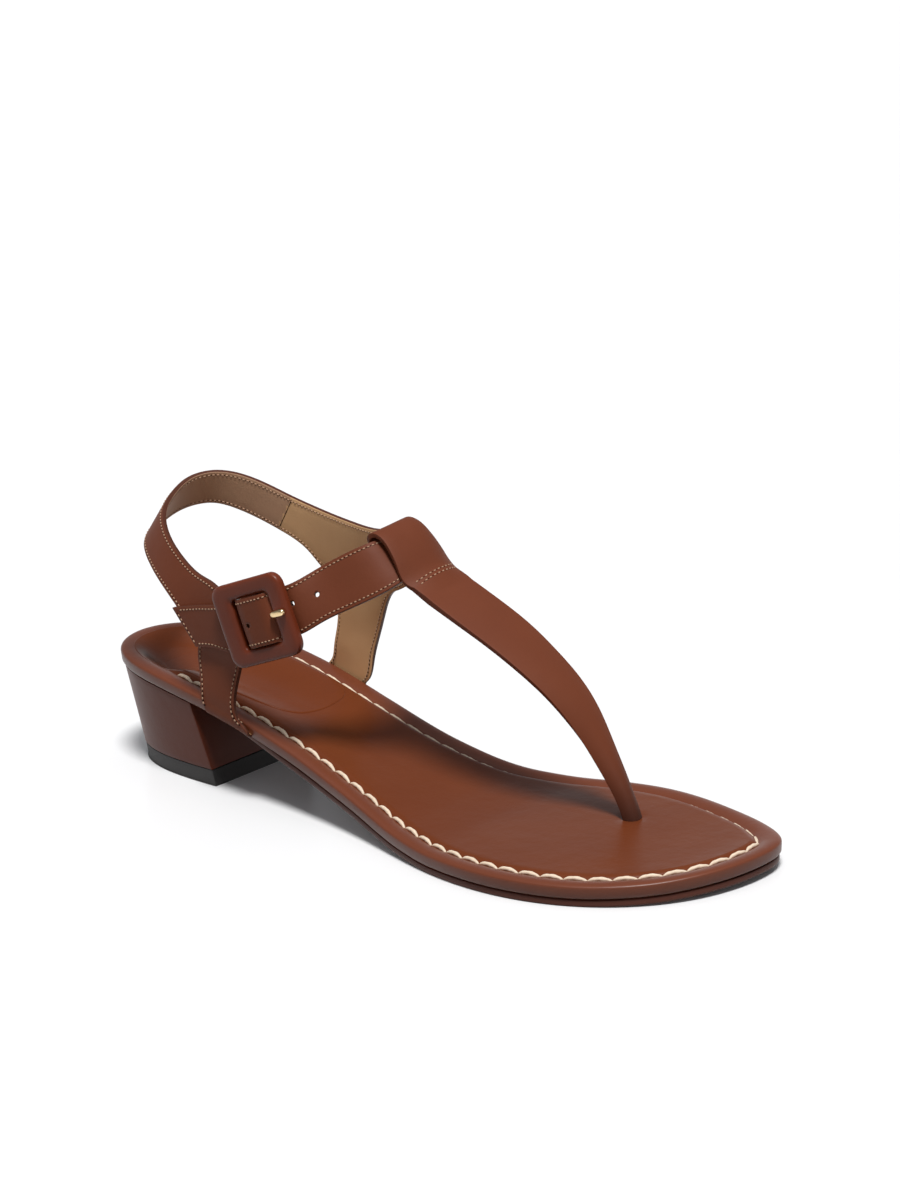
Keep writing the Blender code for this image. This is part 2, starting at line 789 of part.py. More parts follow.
def tube(name, path, radius, home):
    """Round rod along a path: a bevelled curve made a mesh, its caps welded on."""
    curve = bpy.data.curves.new(name, "CURVE")
    curve.dimensions = "3D"
    curve.bevel_depth = radius * MM
    curve.bevel_resolution = 2
    curve.use_fill_caps = True
    line = curve.splines.new("POLY")
    line.points.add(len(path) - 1)
    for point, place in zip(line.points, path):
        point.co = (*((place - [ORIGIN_X, ORIGIN_Y, 0.0]) * MM), 1.0)
    wire = bpy.data.objects.new(name + "_curve", curve)
    bpy.context.scene.collection.objects.link(wire)
    view = bpy.context.evaluated_depsgraph_get()
    mesh = bpy.data.meshes.new_from_object(wire.evaluated_get(view))
    bpy.data.objects.remove(wire, do_unlink=True)
    edit = bmesh.new()
    edit.from_mesh(mesh)
    bmesh.ops.remove_doubles(edit, verts=edit.verts, dist=0.01 * MM)
    points = [(v.co.x / MM + ORIGIN_X, v.co.y / MM + ORIGIN_Y, v.co.z / MM) for v in edit.verts]
    faces = [tuple(v.index for v in face.verts) for face in edit.faces]
    edit.free()
    return new_object(name, points, faces, home)


def prong_path(extra):
    """Points along the prong's middle, run on past both ends."""
    place, t = spline(PRONG)
    path = [buckle_point(*place(s), PRONG_ACROSS) for s in np.linspace(0.0, t[-1], 13)]
    path[0] = path[0] + unit(path[0] - path[1]) * extra
    path[-1] = path[-1] + unit(path[-1] - path[-2]) * extra
    return path


def build_pockets():
    """Cutters for the slot of the toe post and the pockets of the tucked legs."""
    found = []
    low = TOE_STRAP[-1]
    high = TOE_STRAP[-2]
    points = []
    for row in (high, low):
        lateral = np.array(row[:3])
        medial = np.array(row[3:6])
        wide = unit(medial - lateral)
        ahead = unit(np.cross(wide, np.array(high[:3]) - np.array(low[:3])))
        ahead = ahead if ahead[0] > 0.0 else -ahead
        step = np.array([0.0, 0.0, 3.0 if row is high else -2.0])
        half = (0.5 * np.linalg.norm(medial - lateral) + SLOT_ROOM, SLOT_HALF)
        for corner in rounded_square(half, WINDOW_CORNER, 4):
            points.append((lateral + medial) * 0.5 + wide * corner[0] + ahead * corner[1] + step)
    count = len(points) // 2
    faces = ring_faces(2, count)
    faces += [tuple(range(count)), tuple(range(count, 2 * count))]
    found.append(new_object("toe_slot_tool", points, faces, cutters))
    for name, tuck, side in (
        ("lateral_pocket_tool", LATERAL_TUCK, -1),
        ("medial_pocket_tool", MEDIAL_TUCK, 1),
    ):
        rear = min(tuck[0], tuck[2]) - POCKET_ROOM
        front = max(tuck[1], tuck[3]) + POCKET_ROOM
        points = []
        for x in np.linspace(rear, front, 6):
            edge = side_y(x, side)
            low = footbed_low(x)
            top = low + WALL + 0.4
            points += [
                (x, edge + side * 4.0, low - 1.0),
                (x, edge + side * 4.0, top + 1.6),
                (x, edge - side * 0.05, top + 1.6),
                (x, edge - side * 2.4, top),
                (x, edge - side * POCKET_REACH, top),
                (x, edge - side * POCKET_REACH, low - 1.0),
            ]
        faces = ring_faces(6, 6)
        faces += [tuple(range(6)), tuple(range(30, 36))]
        found.append(new_object(name, points, faces, cutters))
    return found


for old in list(bpy.data.objects):
    bpy.data.objects.remove(old, do_unlink=True)
parts = bpy.data.collections.new("heeled_sandal")
cutters = bpy.data.collections.new("sandal_cutters")
bpy.context.scene.collection.children.link(parts)
bpy.context.scene.collection.children.link(cutters)

footbed = build_footbed()
for pocket in build_pockets():
    boolean(footbed, pocket, "DIFFERENCE")
outsole = build_outsole()
heel, heel_lift = build_heel()
upper = build_band()
boolean(upper, build_toe_strap(), "UNION")
prong_hole = tube("prong_hole_tool", prong_path(0.4), PRONG_RADIUS + 0.35, cutters)
boolean(upper, prong_hole, "DIFFERENCE")
buckle_frame = build_buckle()
buckle_prong = tube("buckle_prong", prong_path(0.0), PRONG_RADIUS, parts)
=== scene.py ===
import math

import bmesh
import bpy
import numpy as np
from mathutils import Matrix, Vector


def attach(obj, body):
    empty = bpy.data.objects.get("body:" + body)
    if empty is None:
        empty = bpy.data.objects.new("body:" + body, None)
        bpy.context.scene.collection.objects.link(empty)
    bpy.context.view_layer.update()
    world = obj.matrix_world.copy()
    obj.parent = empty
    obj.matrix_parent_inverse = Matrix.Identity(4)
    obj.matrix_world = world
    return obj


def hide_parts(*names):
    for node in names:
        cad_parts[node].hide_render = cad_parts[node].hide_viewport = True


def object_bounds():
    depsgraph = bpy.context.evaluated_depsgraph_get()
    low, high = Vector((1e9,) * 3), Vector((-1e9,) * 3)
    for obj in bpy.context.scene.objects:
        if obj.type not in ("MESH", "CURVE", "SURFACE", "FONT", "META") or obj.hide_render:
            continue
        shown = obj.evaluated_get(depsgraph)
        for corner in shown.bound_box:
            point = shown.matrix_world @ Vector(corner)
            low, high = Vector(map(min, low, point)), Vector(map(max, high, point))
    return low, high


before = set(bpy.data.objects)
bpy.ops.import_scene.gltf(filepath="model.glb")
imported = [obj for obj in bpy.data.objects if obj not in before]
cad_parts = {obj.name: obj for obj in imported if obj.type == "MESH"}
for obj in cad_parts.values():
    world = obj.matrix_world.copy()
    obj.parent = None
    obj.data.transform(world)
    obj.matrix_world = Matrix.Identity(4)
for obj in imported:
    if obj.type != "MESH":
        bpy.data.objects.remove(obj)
cad_low, cad_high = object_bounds()

# Footbed: a moulded board under thin foam, wrapped in brown calf leather drawn down over its edge.
# The heel is cupped, the forefoot padded, and a channel pressed inside the rim takes the topstitch.
# Sizes are millimetres: x from the heel's back, y to the medial side, z up from the floor.
# The shoe's middle line lies 2.7 mm to the medial side of the frame's origin.
MM = 0.001
MIDLINE = np.array([cad_low.x, 0.0027, 0.0])
OUTSOLE_THICK = 2.0
SEAT_GAP = 0.3
FOOTBED_SIDE = 3.7
FOOTBED_OUTLINE = [
    # x, lateral, medial
    (0.0, 0.4, -0.4), (6.0, 14.4, 15.4), (16.0, 21.2, 21.7), (35.0, 25.5, 25.5),
    (65.0, 26.8, 25.4), (100.0, 29.2, 23.2), (135.0, 35.8, 25.4), (165.0, 43.6, 35.0),
    (190.0, 45.6, 40.4), (212.0, 41.3, 37.9), (230.0, 31.4, 32.2), (242.0, 18.4, 25.4),
    (248.0, 5.2, 18.9), (250.0, -8.4, 8.4),
]
SOLE_LINE = [
    # x, height of the sole's underside
    (0.0, 30.9), (30.0, 28.3), (60.0, 23.4), (90.0, 15.9), (120.0, 7.5),
    (148.0, 1.2), (165.0, 0.0), (214.0, 0.0), (232.0, 0.5), (250.0, 2.0),
]
FOOTBED_MIDDLE = [
    # x, rise of the middle over the rim line
    (0.0, -1.4), (25.0, -4.0), (60.0, -2.4), (90.0, -0.2), (120.0, 0.8),
    (160.0, 1.3), (205.0, 1.2), (235.0, 1.1), (250.0, 1.0),
]
RIM = [
    # inset, rise from the rim line: underside, side, rounded rim, stitch channel
    (6.0, -3.7), (1.9, -3.7), (1.0, -3.58), (0.5, -3.3), (0.18, -2.8), (0.05, -1.1),
    (0.0, -0.35), (0.05, 0.0), (0.22, 0.3), (0.55, 0.52), (1.1, 0.7), (1.8, 0.82),
    (2.8, 0.88), (4.0, 0.76), (5.0, 0.5), (5.6, 0.24), (6.1, 0.02), (6.5, -0.1),
    (6.9, 0.08), (7.3, 0.5), (7.9, 0.92), (8.8, 1.1),
]
SIDE_ROWS = 17
CUP_EDGE = 3.4
CUP_RUN = 10.5
CUP_RIM = 0.88
TOE_POST_X = 197.0
TOE_POST_Y = 12.6
POST_DIP = 0.8
POST_DIP_REACH = 3.2
CUP_END = 26.0
CUP_FADE = 14.0
RIM_ROUND = 2.0
UNDER_RIM = -0.5
TOE_DRAW = 0.06
TOE_DRAW_FROM = 222.0
TOE_DRAW_RUN = 24.0
PAD_RUN = 15.0
FOOTBED_PER_SIDE = 230
PAD_ACROSS = 44
BOARD_ACROSS = 4
# Painted shade of the heel cup, darkest over its lateral back wall where shade falls: its colour,
# its middle and its reach
CUP_PAINTED_SHADE = ("#1C0D08", (17.0, -13.0, 35.0), (30.0, 15.0, 30.0))
PAINTED_SHADE_TURN = -20.0


def spline(rows, strands=1):
    """Cubic curve through a table's rows by mean distance along their strands, with its knots."""
    p = np.asarray(rows, float)
    size = 3 if strands > 1 else p.shape[1]
    moves = np.diff(p, axis=0)[:, :size * strands].reshape(-1, strands, size)
    step = np.linalg.norm(moves, axis=2).mean(axis=1)
    t = np.concatenate([[0.0], np.cumsum(step)])
    count = len(t)
    grid = np.eye(count)
    side = np.zeros_like(p)
    for i in range(1, count - 1):
        grid[i, i - 1] = step[i - 1]
        grid[i, i] = 2.0 * (step[i - 1] + step[i])
        grid[i, i + 1] = step[i]
        side[i] = 6.0 * ((p[i + 1] - p[i]) / step[i] - (p[i] - p[i - 1]) / step[i - 1])
    bend = np.linalg.solve(grid, side)

    def place(s):
        i = int(np.clip(np.searchsorted(t, s) - 1, 0, count - 2))
        h = step[i]
        a = (t[i + 1] - s) / h
        b = (s - t[i]) / h
        curve = ((a ** 3 - a) * bend[i] + (b ** 3 - b) * bend[i + 1]) * h * h / 6.0
        return a * p[i] + b * p[i + 1] + curve

    return place, t


def steady(table):
    """Curve through two-column rows that never overshoots them."""
    x = np.array([row[0] for row in table])
    y = np.array([row[1] for row in table])
    slope = np.diff(y) / np.diff(x)
    tangent = np.zeros(len(x))
    for i in range(1, len(x) - 1):
        if slope[i - 1] * slope[i] > 0.0:
            tangent[i] = 2.0 * slope[i - 1] * slope[i] / (slope[i - 1] + slope[i])
    tangent[0] = slope[0]
    tangent[-1] = slope[-1]

    def height(s):
        s = min(max(s, x[0]), x[-1])
        i = int(np.clip(np.searchsorted(x, s) - 1, 0, len(x) - 2))
        h = x[i + 1] - x[i]
        u = (s - x[i]) / h
        start = (1.0 + 2.0 * u) * (1.0 - u) ** 2 * y[i] + u * (1.0 - u) ** 2 * h * tangent[i]
        end = u * u * (3.0 - 2.0 * u) * y[i + 1] + u * u * (u - 1.0) * h * tangent[i + 1]
        return start + end

    return height


def unit(v):
    return v / np.linalg.norm(v)


def smooth(u):
    u = min(max(u, 0.0), 1.0)
    return u * u * (3.0 - 2.0 * u)


sole_line = steady(SOLE_LINE)
footbed_middle = steady(FOOTBED_MIDDLE)


def footbed_low(x):
    return sole_line(x) + OUTSOLE_THICK + SEAT_GAP


def rim_line(x):
    return footbed_low(x) + FOOTBED_SIDE


def outline(table, per_side):
    """Closed outline of a table, lateral side from heel to toe and back along the medial side."""
    lateral = [(x, -a) for x, a, b in table]
    medial = [(x, b) for x, a, b in table[-2:0:-1]]
    ring = lateral + medial
    place, t = spline(ring[-3:] + ring + ring[:4])
    heel = t[3]
    toe = t[3 + len(lateral) - 1]
    end = t[3 + len(ring)]
    first = [place(s) for s in np.linspace(heel, toe, per_side + 1)]
    second = [place(s) for s in np.linspace(toe, end, per_side + 1)[1:-1]]
    return np.array(first + second)


def inset(ring, distance):
    """Ring moved inwards along its own normals, by one distance or one for each point."""
    tangent = np.roll(ring, -1, axis=0) - np.roll(ring, 1, axis=0)
    tangent /= np.linalg.norm(tangent, axis=1)[:, None]
    inward = np.column_stack([-tangent[:, 1], tangent[:, 0]])
    return ring + inward * np.reshape(distance, (-1, 1))


def ring_faces(rings, count):
    faces = []
    for j in range(rings - 1):
        for i in range(count):
            k = (i + 1) % count
            faces.append((j * count + i, j * count + k, (j + 1) * count + k, (j + 1) * count + i))
    return faces


def cap(start, count, across, points, height):
    """Rows of faces that close a ring from side to side, and their new points."""
    half = count // 2
    rows = [[start]]
    for k in range(1, half):
        left = np.array(points[start + k][:2])
        right = np.array(points[start + count - k][:2])
        row = [start + k]
        for j in range(1, across):
            x, y = left + (right - left) * j / across
            points.append((x, y, height(x, y)))
            row.append(len(points) - 1)
        rows.append(row + [start + count - k])
    rows.append([start + half])
    faces = [(rows[0][0], rows[1][j + 1], rows[1][j]) for j in range(across)]
    for k in range(1, half - 1):
        for j in range(across):
            faces.append((rows[k][j], rows[k][j + 1], rows[k + 1][j + 1], rows[k + 1][j]))
    last = rows[half - 1]
    faces += [(last[j], last[j + 1], rows[half][0]) for j in range(across)]
    return faces


def make_piece(name, points, faces, finishes, closed=True):
    """Smooth-shaded piece from points in millimetres, riding on the shoe."""
    mesh = bpy.data.meshes.new(name)
    mesh.from_pydata((np.asarray(points, float) * MM + MIDLINE).tolist(), [], faces)
    if closed:
        edit = bmesh.new()
        edit.from_mesh(mesh)
        bmesh.ops.recalc_face_normals(edit, faces=edit.faces)
        edit.to_mesh(mesh)
        edit.free()
    for finish in finishes:
        mesh.materials.append(finish)
    mesh.shade_smooth()
    piece = bpy.data.objects.new(name, mesh)
    bpy.context.scene.collection.objects.link(piece)
    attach(piece, "root")
    return piece


def linear(code):
    """sRGB hex colour as linear red, green, blue and alpha."""
    parts = [int(code[i:i + 2], 16) / 255.0 for i in (1, 3, 5)]
    return [p / 12.92 if p <= 0.04045 else ((p + 0.055) / 1.055) ** 2.4 for p in parts] + [1.0]


def add_node(tree, kind, settings, links):
    """Node with its properties and socket values set and its inputs linked."""
    node = tree.nodes.new(kind)
    for key, value in settings.items():
        if isinstance(key, int) or key in node.inputs:
            node.inputs[key].default_value = value
        else:
            setattr(node, key, value)
    for key, source in links.items():
        tree.links.new(source, node.inputs[key])
    return node


def calf_leather(name, tone, shade, roughness, gloss, painted_shade=None):
    """Drum-dyed calf, plated smooth and waxed: cloudy dye, faint pores and a soft even gloss.

    A painted shade is a spot painted dark where shade falls: its colour, its middle and its reach
    in millimetres.
    """
    cloud_mm = 24.0
    crease_mm = 5.0
    # Calf pores are about 0.2 mm; drawn at 0.8 mm so that they show.
    pore_mm = 0.8
    unevenness = 0.06
    leather = bpy.data.materials.new(name)
    leather.use_nodes = True
    tree = leather.node_tree
    shader = tree.nodes["Principled BSDF"]
    shader.inputs["IOR"].default_value = 1.5
    shader.inputs["Specular IOR Level"].default_value = gloss
    place = add_node(tree, "ShaderNodeTexCoord", {}, {}).outputs["Object"]
    clouds = add_node(
        tree, "ShaderNodeTexNoise", {"Scale": 1000.0 / cloud_mm, "Detail": 4.0}, {"Vector": place})
    dye = add_node(
        tree, "ShaderNodeMix", {"data_type": "RGBA", 6: linear(tone), 7: linear(shade)},
        {0: clouds.outputs["Fac"]})
    colour = dye.outputs[2]
    # Painted shade: the colour turns dark towards the spot's middle.
    if painted_shade:
        dark, middle, reach = painted_shade
        spot = add_node(
            tree, "ShaderNodeMapping",
            {"vector_type": "TEXTURE", "Location": np.array(middle) * MM + MIDLINE,
             "Scale": np.array(reach) * MM, "Rotation": (0.0, 0.0, math.radians(PAINTED_SHADE_TURN))},
            {"Vector": place})
        fade = add_node(
            tree, "ShaderNodeTexGradient", {"gradient_type": "QUADRATIC_SPHERE"},
            {"Vector": spot.outputs[0]})
        colour = add_node(
            tree, "ShaderNodeMix", {"data_type": "RGBA", 7: linear(dark)},
            {0: fade.outputs["Fac"], 6: colour}).outputs[2]
    tree.links.new(colour, shader.inputs["Base Color"])
    polish = add_node(
        tree, "ShaderNodeMapRange", {3: roughness - unevenness, 4: roughness + unevenness},
        {0: clouds.outputs["Fac"]})
    tree.links.new(polish.outputs[0], shader.inputs["Roughness"])
    pores = add_node(tree, "ShaderNodeTexVoronoi", {"Scale": 1000.0 / pore_mm}, {"Vector": place})
    creases = add_node(
        tree, "ShaderNodeTexNoise", {"Scale": 1000.0 / crease_mm, "Detail": 3.0}, {"Vector": place})
    hills = add_node(
        tree, "ShaderNodeBump", {"Strength": 0.25, "Distance": 0.0004},
        {"Height": creases.outputs["Fac"]})
    grain = add_node(
        tree, "ShaderNodeBump", {"Strength": 0.10, "Distance": 0.0001},
        {"Height": pores.outputs["Distance"], "Normal": hills.outputs[0]})
    tree.links.new(grain.outputs[0], shader.inputs["Normal"])
    return leather


def cup_rise(x, distance):
    """Rise of the heel cup at a station and a distance from the footbed's edge."""
    return CUP_RIM + (footbed_middle(x) - CUP_RIM) * smooth((distance - CUP_EDGE) / CUP_RUN)


def past_heel(x):
    """Share by which the stitch channel has taken the heel cup's place at a station."""
    return smooth((x - CUP_END) / CUP_FADE)


footbed_ring = outline(FOOTBED_OUTLINE, FOOTBED_PER_SIDE)
# The channel draws further in round the toe and gives way to the cup round the heel.
toe_draw = np.array(
    [1.0 + TOE_DRAW * smooth((x - TOE_DRAW_FROM) / TOE_DRAW_RUN) for x, y in footbed_ring])
footbed_points = []
for distance, rise in RIM:
    inside_rim = distance > RIM_ROUND and rise > UNDER_RIM
    share = smooth((distance - RIM_ROUND) / RIM_ROUND)
    for x, y in inset(footbed_ring, distance * (1.0 + (toe_draw - 1.0) * share)):
        cup = cup_rise(x, distance)
        level = cup + (rise - cup) * past_heel(x) if inside_rim else rise
        footbed_points.append((x, y, rim_line(x) + level))
footbed_count = len(footbed_ring)
footbed_faces = ring_faces(len(RIM), footbed_count)
pad_edge = inset(footbed_ring, RIM[-1][0] * toe_draw)


def footbed_top(x, y):
    """Height of the pad inside the channel, dipped where the toe post is pulled through."""
    edge = np.min(np.hypot(pad_edge[:, 0] - x, pad_edge[:, 1] - y))
    distance, high = RIM[-1]
    cup = cup_rise(x, distance + edge)
    pad = high + (footbed_middle(x) - high) * smooth(edge / PAD_RUN)
    dip = POST_DIP * math.exp(-(math.hypot(x - TOE_POST_X, y - TOE_POST_Y) / POST_DIP_REACH) ** 2)
    return rim_line(x) + cup + (pad - cup) * past_heel(x) - dip


footbed_faces += cap(
    (len(RIM) - 1) * footbed_count, footbed_count, PAD_ACROSS, footbed_points, footbed_top)
footbed_faces += cap(
    0, footbed_count, BOARD_ACROSS, footbed_points, lambda x, y: footbed_low(x))
# The insole, its burnished side and the heel sock carry the painted shade of the heel cup.
insole_calf = calf_leather("waxed_insole_calf_painted_cup_shade", "#71391D", "#65311A", 0.3, 0.13, CUP_PAINTED_SHADE)
side_calf = calf_leather("burnished_side_calf_painted_cup_shade", "#743C25", "#68341F", 0.38, 0.38, CUP_PAINTED_SHADE)
footbed = make_piece("footbed_wrap", footbed_points, footbed_faces, [insole_calf, side_calf])
for i in range(SIDE_ROWS * footbed_count):
    footbed.data.polygons[i].material_index = 1
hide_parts("footbed")

# Heel sock: a thin tongue of the same calf glued over the seat of the footbed.
# Its skived edge shows as a fine dark line where the arch begins.
SOCK_OUTLINE = [
    # x, lateral, medial
    (4.8, 0.4, -0.4), (7.6, 9.4, 9.8), (15.0, 15.4, 15.8), (24.0, 18.3, 18.7),
    (32.0, 18.1, 18.3), (40.0, 16.9, 17.0), (52.0, 17.4, 16.6), (62.5, 14.9, 16.4),
    (69.0, 13.4, 16.2), (74.5, 10.9, 15.6), (78.6, 6.4, 14.4), (80.9, -1.3, 11.9),
    (81.4, -6.0, 6.0),
]
SOCK_EDGE = [
    # inset, rise over the footbed
    (0.0, -0.4), (0.0, 0.1), (0.15, 0.24), (0.5, 0.3),
]
SOCK_SKIVED = 0.3
SOCK_SKIVE_TO = 35.0
SOCK_SKIVE_RUN = 25.0
SOCK_PER_SIDE = 90
SOCK_ACROSS = 24
SOCK_UNDER_ACROSS = 12


def sock_edge(x):
    """Share of the sock's thickness left at its edge, skived away round the heel."""
    return SOCK_SKIVED + (1.0 - SOCK_SKIVED) * smooth((x - SOCK_SKIVE_TO) / SOCK_SKIVE_RUN)


def sock_floor(x, y):
    """Height of the footbed under the sock, over the cup's wall too."""
    edge = np.min(np.hypot(footbed_ring[:, 0] - x, footbed_ring[:, 1] - y))
    if edge < RIM[-1][0]:
        return rim_line(x) + cup_rise(x, edge)
    return footbed_top(x, y)


sock_ring = outline(SOCK_OUTLINE, SOCK_PER_SIDE)
sock_points = []
for distance, rise in SOCK_EDGE:
    for x, y in inset(sock_ring, distance):
        level = rise * sock_edge(x) if rise > 0.0 else rise
        sock_points.append((x, y, sock_floor(x, y) + level))
sock_count = len(sock_ring)
sock_faces = ring_faces(len(SOCK_EDGE), sock_count)
sock_faces += cap(
    (len(SOCK_EDGE) - 1) * sock_count, sock_count, SOCK_ACROSS, sock_points,
    lambda x, y: sock_floor(x, y) + SOCK_EDGE[-1][1] * sock_edge(x))
sock_faces += cap(
    0, sock_count, SOCK_UNDER_ACROSS, sock_points,
    lambda x, y: sock_floor(x, y) + SOCK_EDGE[0][1])
# The sock carries the heel cup's painted shade as well.
sock_calf = calf_leather("waxed_sock_calf_painted_cup_shade", "#71391D", "#65311A", 0.3, 0.13, CUP_PAINTED_SHADE)
heel_sock = make_piece("heel_sock", sock_points, sock_faces, [sock_calf])

# Topstitch of the footbed: thick waxed linen thread, two plies, in long stitches that sink into
# their holes. It runs in the channel from the lateral heel round the toe to the medial heel.
STITCH_PITCH = 7.3
THREAD_RADIUS = 0.62
THREAD_RISE = 0.4
THREAD_SINK = 0.3
THREAD_SLANT = 0.5
THREAD_BOW = 0.45
TIGHT_RADIUS = 0.5
TIGHT_RISE = -0.2
TIGHT_RUN = 20.0
SLACK = 0.6
SLACK_FROM = 150.0
SLACK_RUN = 40.0
CHANNEL_INSET = 6.5
TOPSTITCH_FROM = 37.0
STITCH_POINTS = 13
STITCH_ARCH = 2.6
STITCH_END = 0.5
THREAD_SIDES = 12
PLY_DEPTH = 0.1
PLY_LAY = 2.6


def run_length(path):
    """Distance along a path at each of its points."""
    return np.concatenate([[0.0], np.cumsum(np.linalg.norm(np.diff(path, axis=0), axis=1))])


def rope(path, radii, up, sides, ply=0.0, lay=1.0):
    """Points and faces of a round thread or rod along a path; its plies wind once in each lay."""
    path = np.asarray(path, float)
    ahead = np.gradient(path, axis=0)
    ahead /= np.linalg.norm(ahead, axis=1)[:, None]
    run = run_length(path)
    points = []
    for i in range(len(path)):
        side = unit(np.cross(ahead[i], up))
        top = np.cross(side, ahead[i])
        for k in range(sides):
            angle = 2.0 * math.pi * k / sides
            reach = radii[i] * (1.0 + ply * math.cos(2.0 * angle - 2.0 * math.pi * run[i] / lay))
            points.append(path[i] + (side * math.cos(angle) + top * math.sin(angle)) * reach)
    faces = ring_faces(len(path), sides)
    faces += [tuple(range(sides)), tuple(range(len(points) - sides, len(points)))]
    return points, faces


def gather(bits):
    """Many small closed forms as one list of points and one of faces."""
    points = []
    faces = []
    for more_points, more_faces in bits:
        start = len(points)
        points += list(more_points)
        faces += [tuple(i + start for i in face) for face in more_faces]
    return points, faces


def thread_finish(name, tone, shade, lay_mm):
    """Waxed thread: pale and dry, a little darker in random patches."""
    thread = bpy.data.materials.new(name)
    thread.use_nodes = True
    tree = thread.node_tree
    shader = tree.nodes["Principled BSDF"]
    shader.inputs["Roughness"].default_value = 0.6
    place = add_node(tree, "ShaderNodeTexCoord", {}, {}).outputs["Object"]
    fibres = add_node(
        tree, "ShaderNodeTexNoise", {"Scale": 1000.0 / lay_mm, "Detail": 2.0}, {"Vector": place})
    dye = add_node(
        tree, "ShaderNodeMix", {"data_type": "RGBA", 6: linear(tone), 7: linear(shade)},
        {0: fibres.outputs["Fac"]})
    tree.links.new(dye.outputs[2], shader.inputs["Base Color"])
    return thread


channel = inset(footbed_ring, CHANNEL_INSET * toe_draw)
channel = channel[channel[:, 0] > TOPSTITCH_FROM]
channel_run = run_length(channel)


def channel_point(s):
    return np.array([np.interp(s, channel_run, channel[:, k]) for k in range(2)])


toe_run = channel_run[np.argmax(channel[:, 0])]
stitch_count = round(channel_run[-1] / STITCH_PITCH)
bits = []
for n in range(stitch_count):
    path = []
    radii = []
    for u in np.linspace(0.0, 1.0, STITCH_POINTS):
        s = channel_run[-1] * (n + u) / stitch_count
        here = channel_point(s)
        tangent = unit(channel_point(s + 1.0) - channel_point(s - 1.0))
        arch = 1.0 - abs(2.0 * u - 1.0) ** STITCH_ARCH
        # Along the medial side the thread is drawn tight behind the pad, less so at the waist.
        slack = SLACK * smooth((SLACK_FROM - here[0]) / SLACK_RUN)
        tight = smooth((s - toe_run) / TIGHT_RUN) * (1.0 - slack)
        lean = THREAD_SLANT * (0.5 - u) + THREAD_BOW * arch
        x, y = here + np.array([-tangent[1], tangent[0]]) * lean
        rise = THREAD_RISE + (TIGHT_RISE - THREAD_RISE) * tight
        radius = THREAD_RADIUS + (TIGHT_RADIUS - THREAD_RADIUS) * tight
        path.append((x, y, rim_line(x) - THREAD_SINK + (rise + THREAD_SINK) * arch))
        radii.append(radius * (STITCH_END + (1.0 - STITCH_END) * arch))
    bits.append(rope(path, radii, np.array([0.0, 0.0, 1.0]), THREAD_SIDES, PLY_DEPTH, PLY_LAY))
linen = thread_finish("waxed_linen_thread", "#F3E2CC", "#DCC3A6", 0.7)
make_piece("footbed_topstitch", *gather(bits), [linen])

# Back strap, quarters and ankle strap: one long band of calf with a kid lining and dyed cut edges.
# It starts as a tab under the buckle, rounds the heel and comes back over the instep through the
# buckle. A leg from each quarter is turned under the footbed.
WALL = 1.8
BUCKLE_AT = np.array([88.5, -30.1, 63.2])
BUCKLE_ALONG = np.array([0.94, 0.07, 0.33])
BUCKLE_OUT = np.array([0.07, -1.0, 0.0])
TAB = [
    # along, out at the buckle
    (4.6, -3.9), (-2.0, -3.95), (-7.0, -5.1),
]
TAB_HALF = 8.2
BACK_STRAP = [
    # top x, y, z, low x, y, z
    (73.0, -25.4, 66.5, 76.5, -26.0, 49.5), (62.0, -24.0, 69.5, 56.0, -25.9, 52.5),
    (54.0, -22.6, 71.2, 46.4, -25.6, 60.4), (45.4, -20.6, 74.8, 37.6, -23.1, 65.7),
    (36.1, -16.9, 79.8, 28.3, -18.8, 70.3), (27.9, -10.0, 84.7, 20.5, -12.3, 74.3),
    (22.9, 0.0, 88.3, 16.8, -1.5, 77.4), (21.6, 10.2, 90.7, 16.6, 10.0, 79.5),
    (25.2, 15.8, 91.3, 20.4, 17.0, 79.9), (31.8, 19.2, 90.6, 27.5, 20.2, 78.7),
    (40.0, 21.9, 88.2, 36.0, 22.8, 75.7),
]
MEDIAL_QUARTER = [
    # top x, y, z, low x, y, z
    (50.0, 23.2, 85.1, 46.5, 23.8, 72.2), (60.0, 23.4, 82.8, 57.0, 24.4, 67.3),
    (70.0, 22.7, 81.3, 66.0, 24.8, 60.0), (80.5, 21.3, 80.4, 82.0, 23.8, 58.0),
    (91.5, 19.2, 80.4, 97.0, 21.6, 60.2),
]
ANKLE_STRAP = [
    # top x, y, z, low x, y, z
    (103.0, 16.4, 82.6, 109.6, 18.9, 66.8), (111.8, 13.6, 85.2, 120.4, 15.8, 73.2),
    (117.0, 7.8, 87.2, 127.4, 8.8, 77.0), (117.6, 0.4, 86.8, 128.8, 0.6, 77.6),
    (117.0, -8.2, 86.6, 127.6, -9.2, 75.0), (105.7, -17.0, 80.4, 115.0, -19.0, 67.6),
    (100.8, -21.9, 76.9, 108.4, -23.2, 63.9),
]
WEAVE = [
    # along, out at the buckle
    (11.0, -3.0), (8.6, -2.85), (7.0, -0.9), (5.1, 1.1), (-0.4, 1.7),
    (-5.4, 1.1), (-7.4, -0.9), (-9.1, -2.85), (-12.4, -3.0), (-18.2, -2.9),
]
WEAVE_HALF = 7.85
STRAP_TAIL = [
    # top x, y, z, low x, y, z
    (61.0, -28.3, 63.1, 67.0, -28.3, 49.9), (47.6, -28.0, 60.2, 57.1, -28.0, 48.8),
]
LATERAL_LEG = [
    # rear x, y, z, front x, y, z
    (55.8, -26.1, 47.0, 74.4, -26.1, 45.2), (56.4, -26.7, 40.0, 72.3, -26.9, 37.8),
    (56.8, -27.4, 34.0, 71.8, -27.9, 31.6),
]
